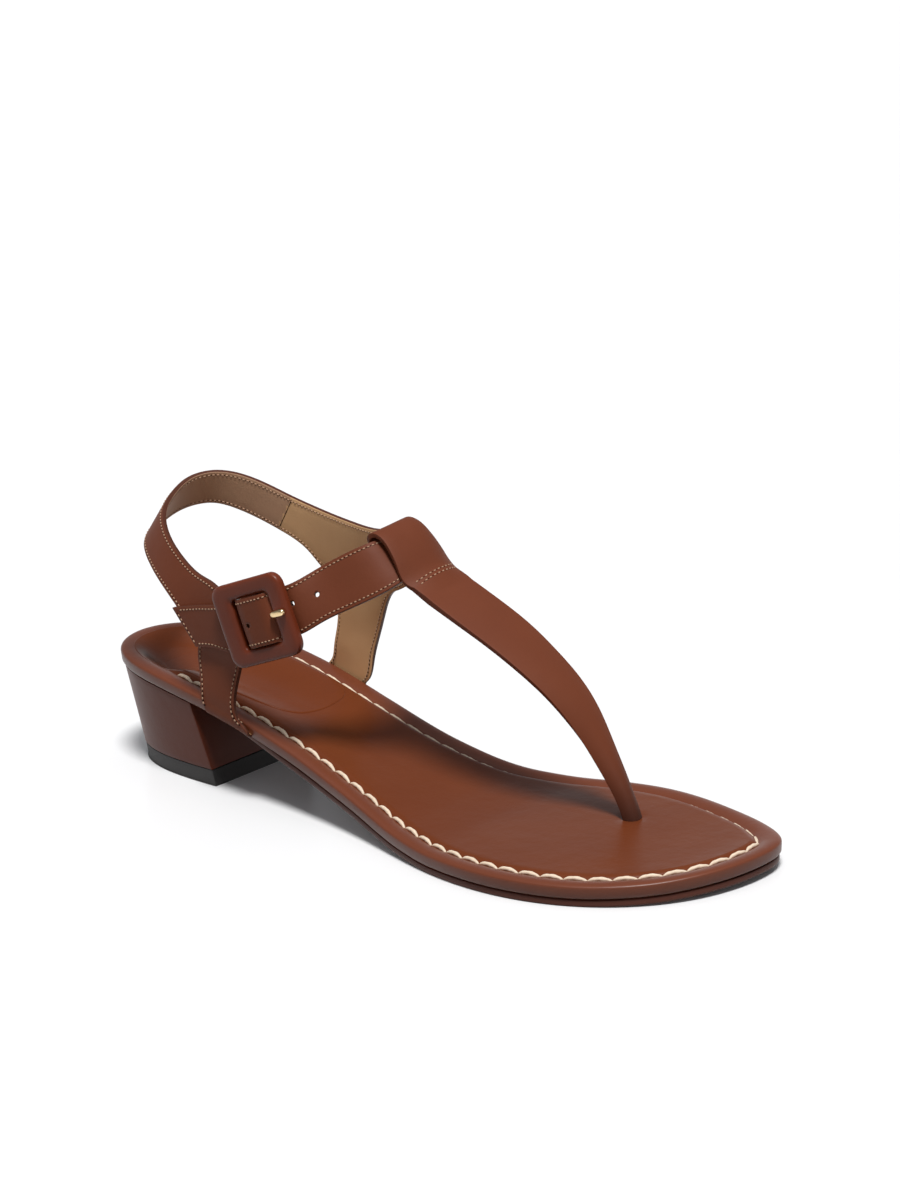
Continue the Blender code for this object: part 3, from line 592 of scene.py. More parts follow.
# Where a leg meets the sole's edge and where it turns under: rear and front x of each
LATERAL_TUCK = (57.3, 73.6, 58.2, 77.4)
MEDIAL_LEG = [
    # rear x, y, z, front x, y, z
    (68.4, 25.1, 50.0, 89.3, 23.8, 50.0), (66.9, 25.5, 42.5, 85.3, 24.9, 42.0),
    (64.4, 26.0, 35.5, 82.0, 25.4, 34.0),
]
MEDIAL_TUCK = (61.4, 78.3, 60.2, 77.0)
TUCK_HIGH = 4.4
TUCK_RADIUS = 1.8
TUCK_TURN = (0.0, 30.0, 60.0, 90.0)
TUCK_REACH = 5.0
TUCK_STEPS = 2
# Rows of the band over each leg, and its row in the middle of the T-strap's loop
LATERAL_SPAN = (3, 4)
MEDIAL_SPAN = (16, 18)
TUNNEL_SPAN = 22
BAND_STEP = 1.2
BAND_ACROSS = 16
LEG_STEPS = 6
LEG_SKIVE = 0.45
SKIVE_FROM = 14.0
SKIVE_RUN = 9.0
CORNER_COLUMNS = 5
PRESSED_WALL = 0.84
PRESSED_GAIN = 0.16
PRESSED_RUN = 4.0
STRAP_ROUND = 0.45
LINING_SEAM = 136.2
LINING_SLANT = 4.6
HOLE_RADIUS = 0.8
PUNCH_HALF = 3.0
STRAP_HOLES = [
    # place along the band, share of its width
    (258.9, 0.54), (267.1, 0.62), (284.7, 0.46),
]


def buckle_point(along, out, across=0.0):
    """Point by its distances along the strap, out of it and across it from the buckle's middle."""
    u = unit(BUCKLE_ALONG)
    n = unit(BUCKLE_OUT - u * (BUCKLE_OUT @ u))
    return BUCKLE_AT + u * along + n * out + np.cross(n, u) * across


def edges_at_buckle(rows, half):
    """Top and low edges of the band where it passes the buckle."""
    table = []
    for along, out in rows:
        table.append((*buckle_point(along, out, half), *buckle_point(along, out, -half)))
    return table


band_rows = (
    edges_at_buckle(TAB, TAB_HALF) + BACK_STRAP + MEDIAL_QUARTER + ANKLE_STRAP
    + edges_at_buckle(WEAVE, WEAVE_HALF) + STRAP_TAIL)
band, band_t = spline(band_rows, 2)


def band_width(s):
    row = band(s)
    return np.linalg.norm(row[:3] - row[3:])


def band_point(s, share):
    """Point of the band's middle surface: share 0 at its low edge, 1 at its top edge."""
    row = band(s)
    return row[3:] + (row[:3] - row[3:]) * share


def band_frame(s, share):
    """Directions up the band and out of it at a point."""
    row = band(s)
    up = unit(row[:3] - row[3:])
    ahead = unit(band_point(s + 0.5, share) - band_point(s - 0.5, share))
    return up, unit(np.cross(up, ahead))


def side_y(x, side):
    """Edge of the footbed at a station on one side."""
    half = footbed_count // 2
    edge = footbed_ring[:half + 1]
    if side > 0:
        edge = np.vstack([footbed_ring[:1], footbed_ring[:half - 1:-1]])
    return float(np.interp(x, edge[:, 0], edge[:, 1]))


def leg_columns(tops, before, rows, tuck, side):
    """Columns of points from the band's low edge down a leg, round the sole's edge and under it."""
    rear_high, front_high, rear_low, front_low = tuck
    clear = side * (SEAT_GAP + WALL * 0.5)
    columns = []
    for i, top in enumerate(tops):
        share = i / (len(tops) - 1)
        if side < 0:
            share = 1.0 - share
        lean = [np.array(r[:3]) + (np.array(r[3:]) - np.array(r[:3])) * share for r in rows]
        x_high = rear_high + (front_high - rear_high) * share
        x_low = rear_low + (front_low - rear_low) * share
        bottom = footbed_low(x_low) + WALL * 0.5
        out = side_y(x_low, side) + clear
        high_out = side_y(x_high, side) + clear
        lean.append(np.array([x_high, high_out, footbed_low(x_high) + TUCK_HIGH]))
        for angle in TUCK_TURN:
            turn = math.radians(angle)
            y = out - side * TUCK_RADIUS * (1.0 - math.cos(turn))
            lean.append(np.array([x_low, y, bottom + TUCK_RADIUS * (1.0 - math.sin(turn))]))
        lean.append(np.array([x_low, out - side * TUCK_REACH, bottom]))
        place, t = spline([before[i], top] + lean)
        column = []
        for k in range(1, len(t) - 1):
            steps = LEG_STEPS if k < len(rows) + 2 else TUCK_STEPS
            column += [place(t[k] + (t[k + 1] - t[k]) * (n + 1) / steps) for n in range(steps)]
        columns.append(column)
    return columns


def strap_wall(distance):
    """Wall of a strap at a distance from its edge, pressed thinner along the sewn edge."""
    return WALL * (PRESSED_WALL + PRESSED_GAIN * smooth(distance / PRESSED_RUN))


def sheet_faces(rows, across):
    """Faces of a sheet of points, row after row."""
    wide = across + 1
    faces = []
    for i in range(rows - 1):
        for j in range(across):
            a = i * wide + j
            faces.append((a, a + 1, a + wide + 1, a + wide))
    return faces


def thicken(piece, walls, rounding, segments, rim_finish):
    """Solidify a sheet about its middle to each point's wall and round its cut edges."""
    group = piece.vertex_groups.new(name="wall")
    most = max(walls)
    for index, wall in enumerate(walls):
        group.add([index], wall / most, "REPLACE")
    solid = piece.modifiers.new("wall", "SOLIDIFY")
    solid.thickness = most * MM
    solid.offset = 0.0
    solid.use_even_offset = True
    solid.vertex_group = group.name
    solid.material_offset = 1
    solid.material_offset_rim = rim_finish
    bevel = piece.modifiers.new("rounded edges", "BEVEL")
    bevel.width = rounding * MM
    bevel.segments = segments
    bevel.limit_method = "ANGLE"
    bevel.angle_limit = math.radians(50.0)


def settle(piece):
    """Replace a piece's mesh by what its modifiers make of it."""
    view = bpy.context.evaluated_depsgraph_get()
    mesh = bpy.data.meshes.new_from_object(piece.evaluated_get(view))
    piece.modifiers.clear()
    piece.data = mesh
    mesh.shade_smooth()


def lining_kid(name, tone, shade):
    """Vegetable-tanned kid, undyed and brushed: pale tan, dry, with a fine even nap."""
    cloud_mm = 12.0
    # The nap's fibres are about 0.1 mm; drawn at 0.9 mm so that they show.
    nap_mm = 0.9
    kid = bpy.data.materials.new(name)
    kid.use_nodes = True
    tree = kid.node_tree
    shader = tree.nodes["Principled BSDF"]
    shader.inputs["Roughness"].default_value = 0.62
    shader.inputs["IOR"].default_value = 1.45
    place = add_node(tree, "ShaderNodeTexCoord", {}, {}).outputs["Object"]
    clouds = add_node(
        tree, "ShaderNodeTexNoise", {"Scale": 1000.0 / cloud_mm, "Detail": 5.0}, {"Vector": place})
    dye = add_node(
        tree, "ShaderNodeMix", {"data_type": "RGBA", 6: linear(tone), 7: linear(shade)},
        {0: clouds.outputs["Fac"]})
    tree.links.new(dye.outputs[2], shader.inputs["Base Color"])
    nap = add_node(
        tree, "ShaderNodeTexNoise", {"Scale": 1000.0 / nap_mm, "Detail": 2.0}, {"Vector": place})
    raised = add_node(
        tree, "ShaderNodeBump", {"Strength": 0.2, "Distance": 0.0002},
        {"Height": nap.outputs["Fac"]})
    tree.links.new(raised.outputs[0], shader.inputs["Normal"])
    return kid


upper_calf = calf_leather("plated_upper_calf", "#733A21", "#67321C", 0.58, 0.24)
kid = lining_kid("tan_kid_lining", "#E6BA88", "#D6A878")
# A darker copy of the kid lining: painted shade for the strip behind the heel.
back_kid_painted_shade = lining_kid("kid_lining_painted_shade", "#C49A7A", "#B08868")
dyed_edge = calf_leather("dyed_cut_edge", "#5A3223", "#4C291C", 0.5, 0.2)

stations = []
row_start = []
for i in range(len(band_t) - 1):
    length = band_t[i + 1] - band_t[i]
    steps = max(2, round(length / BAND_STEP))
    row_start.append(len(stations))
    stations += [band_t[i] + length * n / steps for n in range(steps)]
stations.append(band_t[-1])
wide = BAND_ACROSS + 1
points = []
walls = []
joined = [(row_start[a], row_start[b]) for a, b in (LATERAL_SPAN, MEDIAL_SPAN)]
for i, s in enumerate(stations):
    width = band_width(s)
    over_leg = any(a <= i <= b for a, b in joined)
    for j in range(wide):
        share = j / BAND_ACROSS
        points.append(band_point(s, share))
        low = width if over_leg else share * width
        walls.append(strap_wall(min(low, (1.0 - share) * width, (band_t[-1] - s) + 0.001)))
faces = sheet_faces(len(stations), BAND_ACROSS)
legs = []
for span, rows, tuck, side in (
    (LATERAL_SPAN, LATERAL_LEG, LATERAL_TUCK, -1),
    (MEDIAL_SPAN, MEDIAL_LEG, MEDIAL_TUCK, 1),
):
    columns = range(row_start[span[0]], row_start[span[1]] + 1)
    tops = [points[i * wide] for i in columns]
    # Each column runs on from the band above it, and the outer ones from the band's low edge.
    before = []
    for n, i in enumerate(columns):
        rear = smooth(1.0 - n / CORNER_COLUMNS)
        front = smooth(1.0 - (len(columns) - 1 - n) / CORNER_COLUMNS)
        above = points[i * wide + 2] * (1.0 - rear - front)
        before.append(above + points[(i - 3) * wide] * rear + points[(i + 3) * wide] * front)
    drop = leg_columns(tops, before, rows, tuck, side)
    legs.append(np.array([[top] + column for top, column in zip(tops, drop)]))
    above = [i * wide for i in columns]
    for k in range(len(drop[0])):
        below = []
        for column in drop:
            points.append(column[k])
            below.append(len(points) - 1)
            edge = min(
                np.linalg.norm(column[k] - drop[0][k]), np.linalg.norm(column[k] - drop[-1][k]))
            skive = LEG_SKIVE * smooth((k - SKIVE_FROM) / SKIVE_RUN)
            walls.append(strap_wall(edge) * (1.0 - skive))
        for c in range(len(above) - 1):
            faces.append((above[c], above[c + 1], below[c + 1], below[c]))
        above = below
straps = make_piece(
    "ankle_and_back_strap", points, faces,
    [upper_calf, kid, dyed_edge, upper_calf, back_kid_painted_shade, dyed_edge], closed=False)
# The strip of lining behind the heel, joined to the quarter's lining by a seam, gets a darker copy
# of the kid lining as painted shade.
for i, s in enumerate(stations[:-1]):
    for j in range(BAND_ACROSS):
        if s < LINING_SEAM + LINING_SLANT * ((j + 0.5) / BAND_ACROSS - 0.5):
            straps.data.polygons[i * BAND_ACROSS + j].material_index = 3
thicken(straps, walls, STRAP_ROUND, segments=3, rim_finish=2)
settle(straps)

bits = []
for s, share in STRAP_HOLES:
    middle = band_point(s, share)
    up, out = band_frame(s, share)
    path = [middle - out * PUNCH_HALF, middle, middle + out * PUNCH_HALF]
    bits.append(rope(path, [HOLE_RADIUS] * len(path), up, sides=16))
punch = make_piece("strap_punch", *gather(bits), [dyed_edge])
punched = straps.modifiers.new("punched holes", "BOOLEAN")
punched.operation = "DIFFERENCE"
punched.solver = "EXACT"
punched.object = punch
settle(straps)
bpy.data.objects.remove(punch, do_unlink=True)
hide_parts("upper")

# T-strap: calf folded round its own edges, from the toe post up to a loop that the ankle strap
# slides through. The post is drawn through a slit in the footbed, and the loop is sewn to itself
# at its base.
TOE_STRAP = [
    # lateral x, y, z, medial x, y, z, crown, thickness
    (136.8, -7.9, 71.9, 136.2, 12.2, 72.9, 0.3, 2.2),
    (148.2, -6.1, 65.4, 147.9, 13.8, 66.9, 0.6, 1.7),
    (156.8, -4.2, 60.2, 157.1, 15.8, 60.8, 0.8, 1.6),
    (166.2, -1.6, 53.4, 166.5, 16.8, 53.7, 1.0, 1.6),
    (175.2, 1.9, 44.7, 175.4, 17.2, 46.0, 1.2, 1.7),
    (181.4, 5.4, 35.5, 182.5, 16.8, 37.4, 1.3, 2.0),
    (186.2, 8.2, 26.6, 188.5, 16.0, 27.0, 1.6, 2.1),
    (190.5, 9.7, 19.2, 192.6, 15.5, 19.2, 1.9, 2.2),
    (194.1, 10.5, 12.7, 195.9, 14.9, 12.7, 2.0, 2.3),
    (196.3, 10.6, 7.2, 198.3, 14.5, 7.2, 1.8, 2.4),
    (197.6, 10.7, 2.6, 199.6, 14.5, 2.6, 1.6, 2.4),
]
TUNNEL = [
    # up from the ankle strap's low edge in mid loop, out from its middle and further out at the
    # medial end, lateral and medial reach, thickness
    (-4.8, 1.5, 1.1, 6.4, 12.0, 2.2), (-3.0, 1.5, 1.0, 7.2, 11.5, 2.0),
    (-0.6, 1.95, 0.8, 7.7, 11.0, 1.6), (3.0, 2.9, 0.35, 7.5, 10.4, 1.6),
    (9.0, 3.8, 0.0, 7.3, 9.6, 1.6), (15.0, 2.9, 0.0, 7.8, 9.4, 1.6),
    (16.5, 1.7, 0.0, 8.4, 9.3, 1.6), (16.9, 0.2, 0.0, 9.0, 9.3, 1.6),
    (16.5, -1.2, 0.0, 9.3, 9.3, 1.6), (15.2, -1.85, 0.0, 9.3, 9.3, 1.6),
    (9.0, -1.85, 0.0, 9.3, 9.3, 1.6), (3.0, -1.85, 0.0, 9.3, 9.3, 1.6),
    (0.6, -1.6, 0.0, 9.3, 9.3, 1.6),
]
TUNNEL_SHIFT = 0.6
TOE_ACROSS = 24
TOE_STEPS = 6
TUNNEL_STEPS = 5
TOE_CROWN = 0.6
TOE_ROUND = 0.7
# Painted shade on the toe post, darkening it towards its slot in the footbed: its colour, its
# middle and its reach
POST_PAINTED_SHADE = ("#2A130B", (197.5, 12.6, 4.0), (32.0, 32.0, 32.0))


def between(knots, steps):
    """Places that divide each span of a curve into equal steps, all but its last knot."""
    return [a + (b - a) * n / steps for a, b in zip(knots, knots[1:]) for n in range(steps)]


def tunnel_point(s, up, out):
    """Point of the loop along the ankle strap, as high where the strap widens as in mid loop."""
    row = band(s)
    rise, away = band_frame(s, min(max(up / band_width(s), 0.0), 1.0))
    middle = (row[:3] + row[3:]) * 0.5
    return middle + rise * (up - band_width(band_t[TUNNEL_SPAN]) * 0.5) + away * out


toe_rows = []
toe_walls = []
place, t = spline(TOE_STRAP[::-1], 2)
spread = np.linspace(-1.0, 1.0, TOE_ACROSS + 1)
for s in between(t, TOE_STEPS):
    row = place(s)
    ahead = place(min(s + 1.0, t[-1])) - place(max(s - 1.0, 0.0))
    lateral = row[:3]
    medial = row[3:6]
    out = unit(np.cross(medial - lateral, ahead[:3] + ahead[3:6]))
    out = -out if out[0] < 0.0 else out
    middles = [(lateral + medial) * 0.5 + (medial - lateral) * 0.5 * c for c in spread]
    toe_rows.append([m + out * row[6] * (TOE_CROWN - c * c) for m, c in zip(middles, spread)])
    toe_walls.append(row[7])
last = place(t[-1])
toe_rows.append([last[:3] + (last[3:6] - last[:3]) * (c + 1.0) / 2.0 for c in spread])
toe_walls.append(last[7])
tunnel_first = len(toe_rows)
centre = band_t[TUNNEL_SPAN] + TUNNEL_SHIFT
path, knots = spline(TUNNEL)
for s in between(knots, TUNNEL_STEPS) + [knots[-1]]:
    up, out, flare, lateral, medial, wall = path(s)
    row = []
    for share in np.linspace(0.0, 1.0, TOE_ACROSS + 1):
        along = centre + lateral - (lateral + medial) * share
        row.append(tunnel_point(along, up, out + flare * share ** 2))
    toe_rows.append(row)
    toe_walls.append(wall)
toe_rows = np.array(toe_rows)
# The T-strap's calf carries the toe post's painted shade.
toe_calf = calf_leather("plated_toe_strap_calf_painted_post_shade", "#733A21", "#67321C", 0.58, 0.24, POST_PAINTED_SHADE)
t_strap = make_piece(
    "t_strap", toe_rows.reshape(-1, 3), sheet_faces(len(toe_rows), TOE_ACROSS),
    [toe_calf, toe_calf, toe_calf], closed=False)
thicken(
    t_strap, [wall for wall in toe_walls for n in range(TOE_ACROSS + 1)], TOE_ROUND,
    segments=4, rim_finish=0)
settle(t_strap)
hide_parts("upper")

# Buckle: a square frame covered in the strap's calf, its cut-out turned in all round.
# The strap's tab holds its bar, and the ankle strap is woven over the bar.
FRAME_HALF = (14.8, 13.3)
FRAME_MIDDLE = (-1.4, 0.1)
WINDOW_HALF = (7.9, 8.1)
WINDOW_MIDDLE = (-0.85, 0.0)
FRAME_CORNER = 4.2
WINDOW_CORNER = 1.4
BAR_RADIUS = 1.0
BAR_DEPTH = -1.6
BAR_PAST = 2.2
BAR_POINTS = 9
CORNER_STEPS = 9
SIDE_STEPS = 6
FRAME_SECTION = [
    # share from the outer edge to the window, height out
    (0.02, -1.2), (0.0, -0.8), (0.0, 0.5), (0.02, 0.95), (0.07, 1.3), (0.14, 1.53),
    (0.24, 1.66), (0.36, 1.7), (0.5, 1.7), (0.64, 1.7), (0.76, 1.66), (0.86, 1.53),
    (0.93, 1.3), (0.98, 0.95), (1.0, 0.5), (1.0, -0.8), (0.98, -1.2), (0.9, -1.55),
    (0.8, -1.7), (0.2, -1.7), (0.1, -1.55),
]


def rounded_square(half, corner):
    """Closed square with round corners and evenly divided sides."""
    points = []
    for quarter in range(4):
        middle = np.array([half[0] - corner, half[1] - corner])
        middle *= [(1, -1, -1, 1)[quarter], (1, 1, -1, -1)[quarter]]
        for n in range(CORNER_STEPS):
            angle = math.pi / 2.0 * (quarter + n / (CORNER_STEPS - 1))
            points.append(middle + corner * np.array([math.cos(angle), math.sin(angle)]))
    whole = []
    for i, point in enumerate(points):
        whole.append(point)
        if i % CORNER_STEPS == CORNER_STEPS - 1:
            after = points[(i + 1) % len(points)]
            whole += [point + (after - point) * n / SIDE_STEPS for n in range(1, SIDE_STEPS)]
    return np.array(whole)


outer = rounded_square(FRAME_HALF, FRAME_CORNER) + FRAME_MIDDLE
window = rounded_square(WINDOW_HALF, WINDOW_CORNER) + WINDOW_MIDDLE
points = []
for share, out in FRAME_SECTION:
    points += [buckle_point(a, out, b) for a, b in outer + (window - outer) * share]
count = len(outer)
faces = ring_faces(len(FRAME_SECTION), count)
last = (len(FRAME_SECTION) - 1) * count
faces += [(last + i, last + (i + 1) % count, (i + 1) % count, i) for i in range(count)]
buckle_calf = calf_leather("plated_buckle_calf", "#74331C", "#642A16", 0.36, 0.24)
reach = WINDOW_HALF[1] + BAR_PAST
bar_path = [buckle_point(0.0, BAR_DEPTH, b) for b in np.linspace(-reach, reach, BAR_POINTS)]
bar = rope(bar_path, [BAR_RADIUS] * BAR_POINTS, unit(BUCKLE_OUT), sides=16)
buckle = make_piece("buckle_frame_cover", *gather([(points, faces), bar]), [buckle_calf])
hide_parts("buckle_frame")

# Prong: bent brass wire with a pale gold plating, turned round the bar, up through the strap and
# onto the frame, its tip rounded.
PRONG = [
    # along, out at the buckle
    (2.3, -1.55), (5.2, -1.3), (7.2, 0.5), (8.4, 2.5), (9.7, 2.85), (13.4, 2.8),
]
PRONG_RADIUS = 1.15
PRONG_ACROSS = 0.8
PRONG_POINTS = 29
# Shares of the radius at the last points, the rounded tip
PRONG_TIP = (0.92, 0.75, 0.3)
RUB_MM = 1.2
place, t = spline(PRONG)
path = [buckle_point(*place(s), PRONG_ACROSS) for s in np.linspace(0.0, t[-1], PRONG_POINTS)]
radii = [PRONG_RADIUS] * (PRONG_POINTS - len(PRONG_TIP))
radii += [PRONG_RADIUS * share for share in PRONG_TIP]
# Barrel-polished plating: a pale warm mirror, a little clouded by rubbing.
gold = bpy.data.materials.new("gold_plated_brass")
gold.use_nodes = True
tree = gold.node_tree
shader = tree.nodes["Principled BSDF"]
shader.inputs["Metallic"].default_value = 1.0
where = add_node(tree, "ShaderNodeTexCoord", {}, {}).outputs["Object"]
rubs = add_node(
    tree, "ShaderNodeTexNoise", {"Scale": 1000.0 / RUB_MM, "Detail": 3.0}, {"Vector": where})
plating = add_node(
    tree, "ShaderNodeMix", {"data_type": "RGBA", 6: linear("#E8CEA3"), 7: linear("#DCC091")},
    {0: rubs.outputs["Fac"]})
tree.links.new(plating.outputs[2], shader.inputs["Base Color"])
polish = add_node(tree, "ShaderNodeMapRange", {3: 0.16, 4: 0.32}, {0: rubs.outputs["Fac"]})
tree.links.new(polish.outputs[0], shader.inputs["Roughness"])
prong = make_piece("buckle_prong_wire", *rope(path, radii, unit(BUCKLE_OUT), sides=16), [gold])
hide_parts("buckle_prong")

# Strap stitching: fine tan polyester thread close to both edges of the straps and legs, through
# leather and lining, and two rows across the base of the T-strap's loop. Needle holes lie between
# the stitches as dark beads of painted shade, and the seam between the two skins of the lining
# shows as a fine crease painted dark with the same shade.
EDGE_PITCH = 1.5
EDGE_STITCH = 0.95
EDGE_THREAD = 0.25
EDGE_IN = 1.15
NEEDLE_RADIUS = 0.24
NEEDLE_HALF = 0.34
NEEDLE_SINK = 0.15
STITCH_PROUD = 0.2
BEAD_RINGS = (-0.62, 0.0, 0.62)
BEAD_SIDES = 6
SEAM_STEP = 0.8
SEAM_REACH = 0.4
TAB_MARGIN = 4.0
LEG_MARGIN = 1.0
TAIL_MARGIN = 2.0
LEG_SEAM_END = 4 * LEG_STEPS + TUCK_STEPS
TAIL_SEAM_EDGE = 0.12
TAIL_SEAM_POINTS = 12
CREASE_RADIUS = 0.16
CREASE_AHEAD = 1.0
CREASE_DEPTH = 0.47
CREASE_POINTS = 20
LOOP_SEAMS = [
    # rows up from the tunnel's first row at the lateral and the medial end
    (3.4, 5.0), (-0.18, 0.8),
]
LOOP_MARGINS = (2.5, 2.0)
LOOP_POINTS = 30
LOOP_PITCH = 1.9


def stitch(middle, ahead, out, half, radius):
    """One short stitch or needle hole: a long bead lying along the seam."""
    side = np.cross(out, ahead)
    points = [middle - ahead * half]
    for turn in BEAD_RINGS:
        size = math.sqrt(1.0 - turn * turn) * radius
        for k in range(BEAD_SIDES):
            angle = 2.0 * math.pi * k / BEAD_SIDES
            points.append(
                middle + ahead * half * turn
                + side * size * math.cos(angle) + out * size * math.sin(angle))
    points.append(middle + ahead * half)
    last = len(points) - 1
    start = last - BEAD_SIDES
    faces = [(0, 1 + (k + 1) % BEAD_SIDES, 1 + k) for k in range(BEAD_SIDES)]
    faces += [tuple(i + 1 for i in face) for face in ring_faces(len(BEAD_RINGS), BEAD_SIDES)]
    faces += [(start + k, start + (k + 1) % BEAD_SIDES, last) for k in range(BEAD_SIDES)]
    return points, faces


def seam(places, outs, pitch):
    """Stitches and the needle holes between them along a path with its outward directions."""
    places = np.asarray(places)
    outs = np.asarray(outs)
    run = run_length(places)
    count = max(1, round(run[-1] / pitch))
    for n in range(2 * count):
        s = run[-1] * (n + 0.5) / (2 * count)
        middle, before, after = (
            np.array([np.interp(s + d, run, places[:, k]) for k in range(3)])
            for d in (0.0, -SEAM_REACH, SEAM_REACH))
        out = unit(np.array([np.interp(s, run, outs[:, k]) for k in range(3)]))
        ahead = unit(after - before)
        out = unit(out - ahead * (out @ ahead))
        if n % 2 == 0:
            proud = middle + out * EDGE_THREAD * STITCH_PROUD
            stitches.append(stitch(proud, ahead, out, EDGE_STITCH * 0.5, EDGE_THREAD))
        else:
            # The needle hole is a dark bead of painted shade, sunk a little into the leather.
            sunk = middle - out * NEEDLE_SINK
            holes.append(stitch(sunk, ahead, out, NEEDLE_HALF, NEEDLE_RADIUS))


def band_seam(start, end, top, face):
    """Row of stitches along one edge of the band, on its outer or lining face."""
    places = []
    outs = []
    for s in np.arange(start, end, SEAM_STEP):
        share = EDGE_IN / band_width(s)
        share = 1.0 - share if top else share
        up, out = band_frame(s, share)
        places.append(band_point(s, share) + out * face * strap_wall(EDGE_IN) * 0.5)
        outs.append(out * face)
    seam(places, outs, EDGE_PITCH)


def leg_seam(leg, rear, face):
    """Row of stitches down one edge of a leg, on its outer or lining face."""
    places = []
    outs = []
    for k in range(1, LEG_SEAM_END):
        across = leg[-1, k] - leg[0, k]
        near = EDGE_IN / np.linalg.norm(across)
        here = leg[0, k] + across * (near if rear else 1.0 - near)
        down = leg[:, k + 1].mean(axis=0) - leg[:, k - 1].mean(axis=0)
        out = unit(np.cross(across, down)) * face
        places.append(here + out * strap_wall(EDGE_IN) * 0.5)
        outs.append(out)
    seam(places, outs, EDGE_PITCH)


def cross_seam(s, face):
    """Row of stitches across the band at a place along it, on its outer or lining face."""
    places = []
    outs = []
    for share in np.linspace(TAIL_SEAM_EDGE, 1.0 - TAIL_SEAM_EDGE, TAIL_SEAM_POINTS):
        out = band_frame(s, share)[1] * face
        places.append(band_point(s, share) + out * strap_wall(EDGE_IN) * 0.5)
        outs.append(out)
    seam(places, outs, EDGE_PITCH)


stitches = []
holes = []
lateral_start, lateral_end, medial_start, medial_end = (
    band_t[row] for row in LATERAL_SPAN + MEDIAL_SPAN)
tail_end = band_t[-1] - TAIL_MARGIN
for face in (1.0, -1.0):
    band_seam(lateral_start + TAB_MARGIN, tail_end, True, face)
    band_seam(lateral_end + LEG_MARGIN, medial_start - LEG_MARGIN, False, face)
    band_seam(medial_end + LEG_MARGIN, tail_end, False, face)
    for leg in legs:
        leg_seam(leg, True, face)
        leg_seam(leg, False, face)
    cross_seam(band_t[-1] - EDGE_IN, face)
# The lining seam's crease is a thin rope of the same painted shade, along the lining's face.
shares = np.linspace(0.0, 1.0, CREASE_POINTS)
ways = [LINING_SEAM + CREASE_AHEAD + LINING_SLANT * (share - 0.5) for share in shares]
outs = [-band_frame(s, share)[1] for s, share in zip(ways, shares)]
crease = [
    band_point(s, share) + out * WALL * CREASE_DEPTH
    for s, share, out in zip(ways, shares, outs)]
radii = [CREASE_RADIUS] * (CREASE_POINTS - 2)
holes.append(rope(crease[1:-1], radii, outs[CREASE_POINTS // 2], sides=8))
for lateral, medial in LOOP_SEAMS:
    places = []
    outs = []
    for c in np.linspace(LOOP_MARGINS[0], TOE_ACROSS - LOOP_MARGINS[1], LOOP_POINTS):
        r = tunnel_first + lateral + (medial - lateral) * c / TOE_ACROSS
        i, j = int(r), int(c)
        cell = toe_rows[i:i + 2, j:j + 2]
        here = (cell[0, 0] * (1 - r + i) + cell[1, 0] * (r - i)) * (1 - c + j)
        here = here + (cell[0, 1] * (1 - r + i) + cell[1, 1] * (r - i)) * (c - j)
        out = unit(np.cross(cell[0, 1] - cell[0, 0], cell[1, 0] - cell[0, 0]))
        out = -out if out[0] < 0.0 else out
        places.append(here + out * np.interp(r, range(len(toe_walls)), toe_walls) * 0.5)
        outs.append(out)
    seam(places, outs, LOOP_PITCH)
polyester = thread_finish("tan_polyester_thread", "#C4A184", "#A07A60", 0.8)
make_piece("strap_stitching", *gather(stitches), [polyester])
hole_shade = calf_leather("painted_hole_shade", "#2B1812", "#21120E", 0.7, 0.05)
make_piece("needle_hole_painted_shade", *gather(holes), [hole_shade])

# Outsole: a thin sheet of sole leather, edge trimmed and burnished, cemented under the footbed
# from the heel's breast to the toe and drawn in under the waist.
OUTSOLE_INSET = 0.8
WAIST_INSET = 3.2
WAIST_X = 95.0
WAIST_RUN = 45.0
BREAST_X = 48.6
BREAST_GAP = 0.75
OUTSOLE_EDGE = [
    # inset, rise from the sole's underside
    (0.12, 2.0), (0.0, 1.85), (0.0, 0.5), (0.1, 0.2), (0.35, 0.0),
]
SOLE_PER_SIDE = 240
SOLE_ACROSS = 8
OUTSOLE_EDGE_POINTS = 311
OUTSOLE_BACK_POINTS = 21


def resample(path, count):
    """Points evenly spaced along a path."""
    path = np.asarray(path)
    run = run_length(path)
    s = np.linspace(0.0, run[-1], count)
    return np.column_stack([np.interp(s, run, path[:, 0]), np.interp(s, run, path[:, 1])])


rear = BREAST_X + BREAST_GAP
base = outline(FOOTBED_OUTLINE, SOLE_PER_SIDE)
draw = [OUTSOLE_INSET + WAIST_INSET * smooth((WAIST_X - x) / WAIST_RUN) for x, y in base]
base = inset(base, np.array(draw))
half = len(base) // 2
corner_l = [rear, np.interp(rear, *base[:half].T)]
corner_m = [rear, np.interp(rear, *base[:half:-1].T)]
edge = resample(
    [corner_l] + [p for p in base if p[0] > rear] + [corner_m], OUTSOLE_EDGE_POINTS)
back = np.linspace(corner_m, corner_l, OUTSOLE_BACK_POINTS)[1:-1]
middle = len(back) // 2
ring = np.vstack([back[middle:], edge, back[:middle]])
count = len(ring)
points = []
for distance, rise in OUTSOLE_EDGE:
    points += [(x, y, sole_line(x) + rise) for x, y in inset(ring, distance)]
faces = ring_faces(len(OUTSOLE_EDGE), count)
faces += cap(0, count, SOLE_ACROSS, points, lambda x, y: sole_line(x) + OUTSOLE_THICK)
faces += cap(
    (len(OUTSOLE_EDGE) - 1) * count, count, SOLE_ACROSS, points, lambda x, y: sole_line(x))
sole_leather = calf_leather("burnished_sole_leather", "#6A3A2B", "#4F2A20", 0.42, 0.25)
outsole = make_piece("outsole_sheet", points, faces, [sole_leather])
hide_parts("outsole")

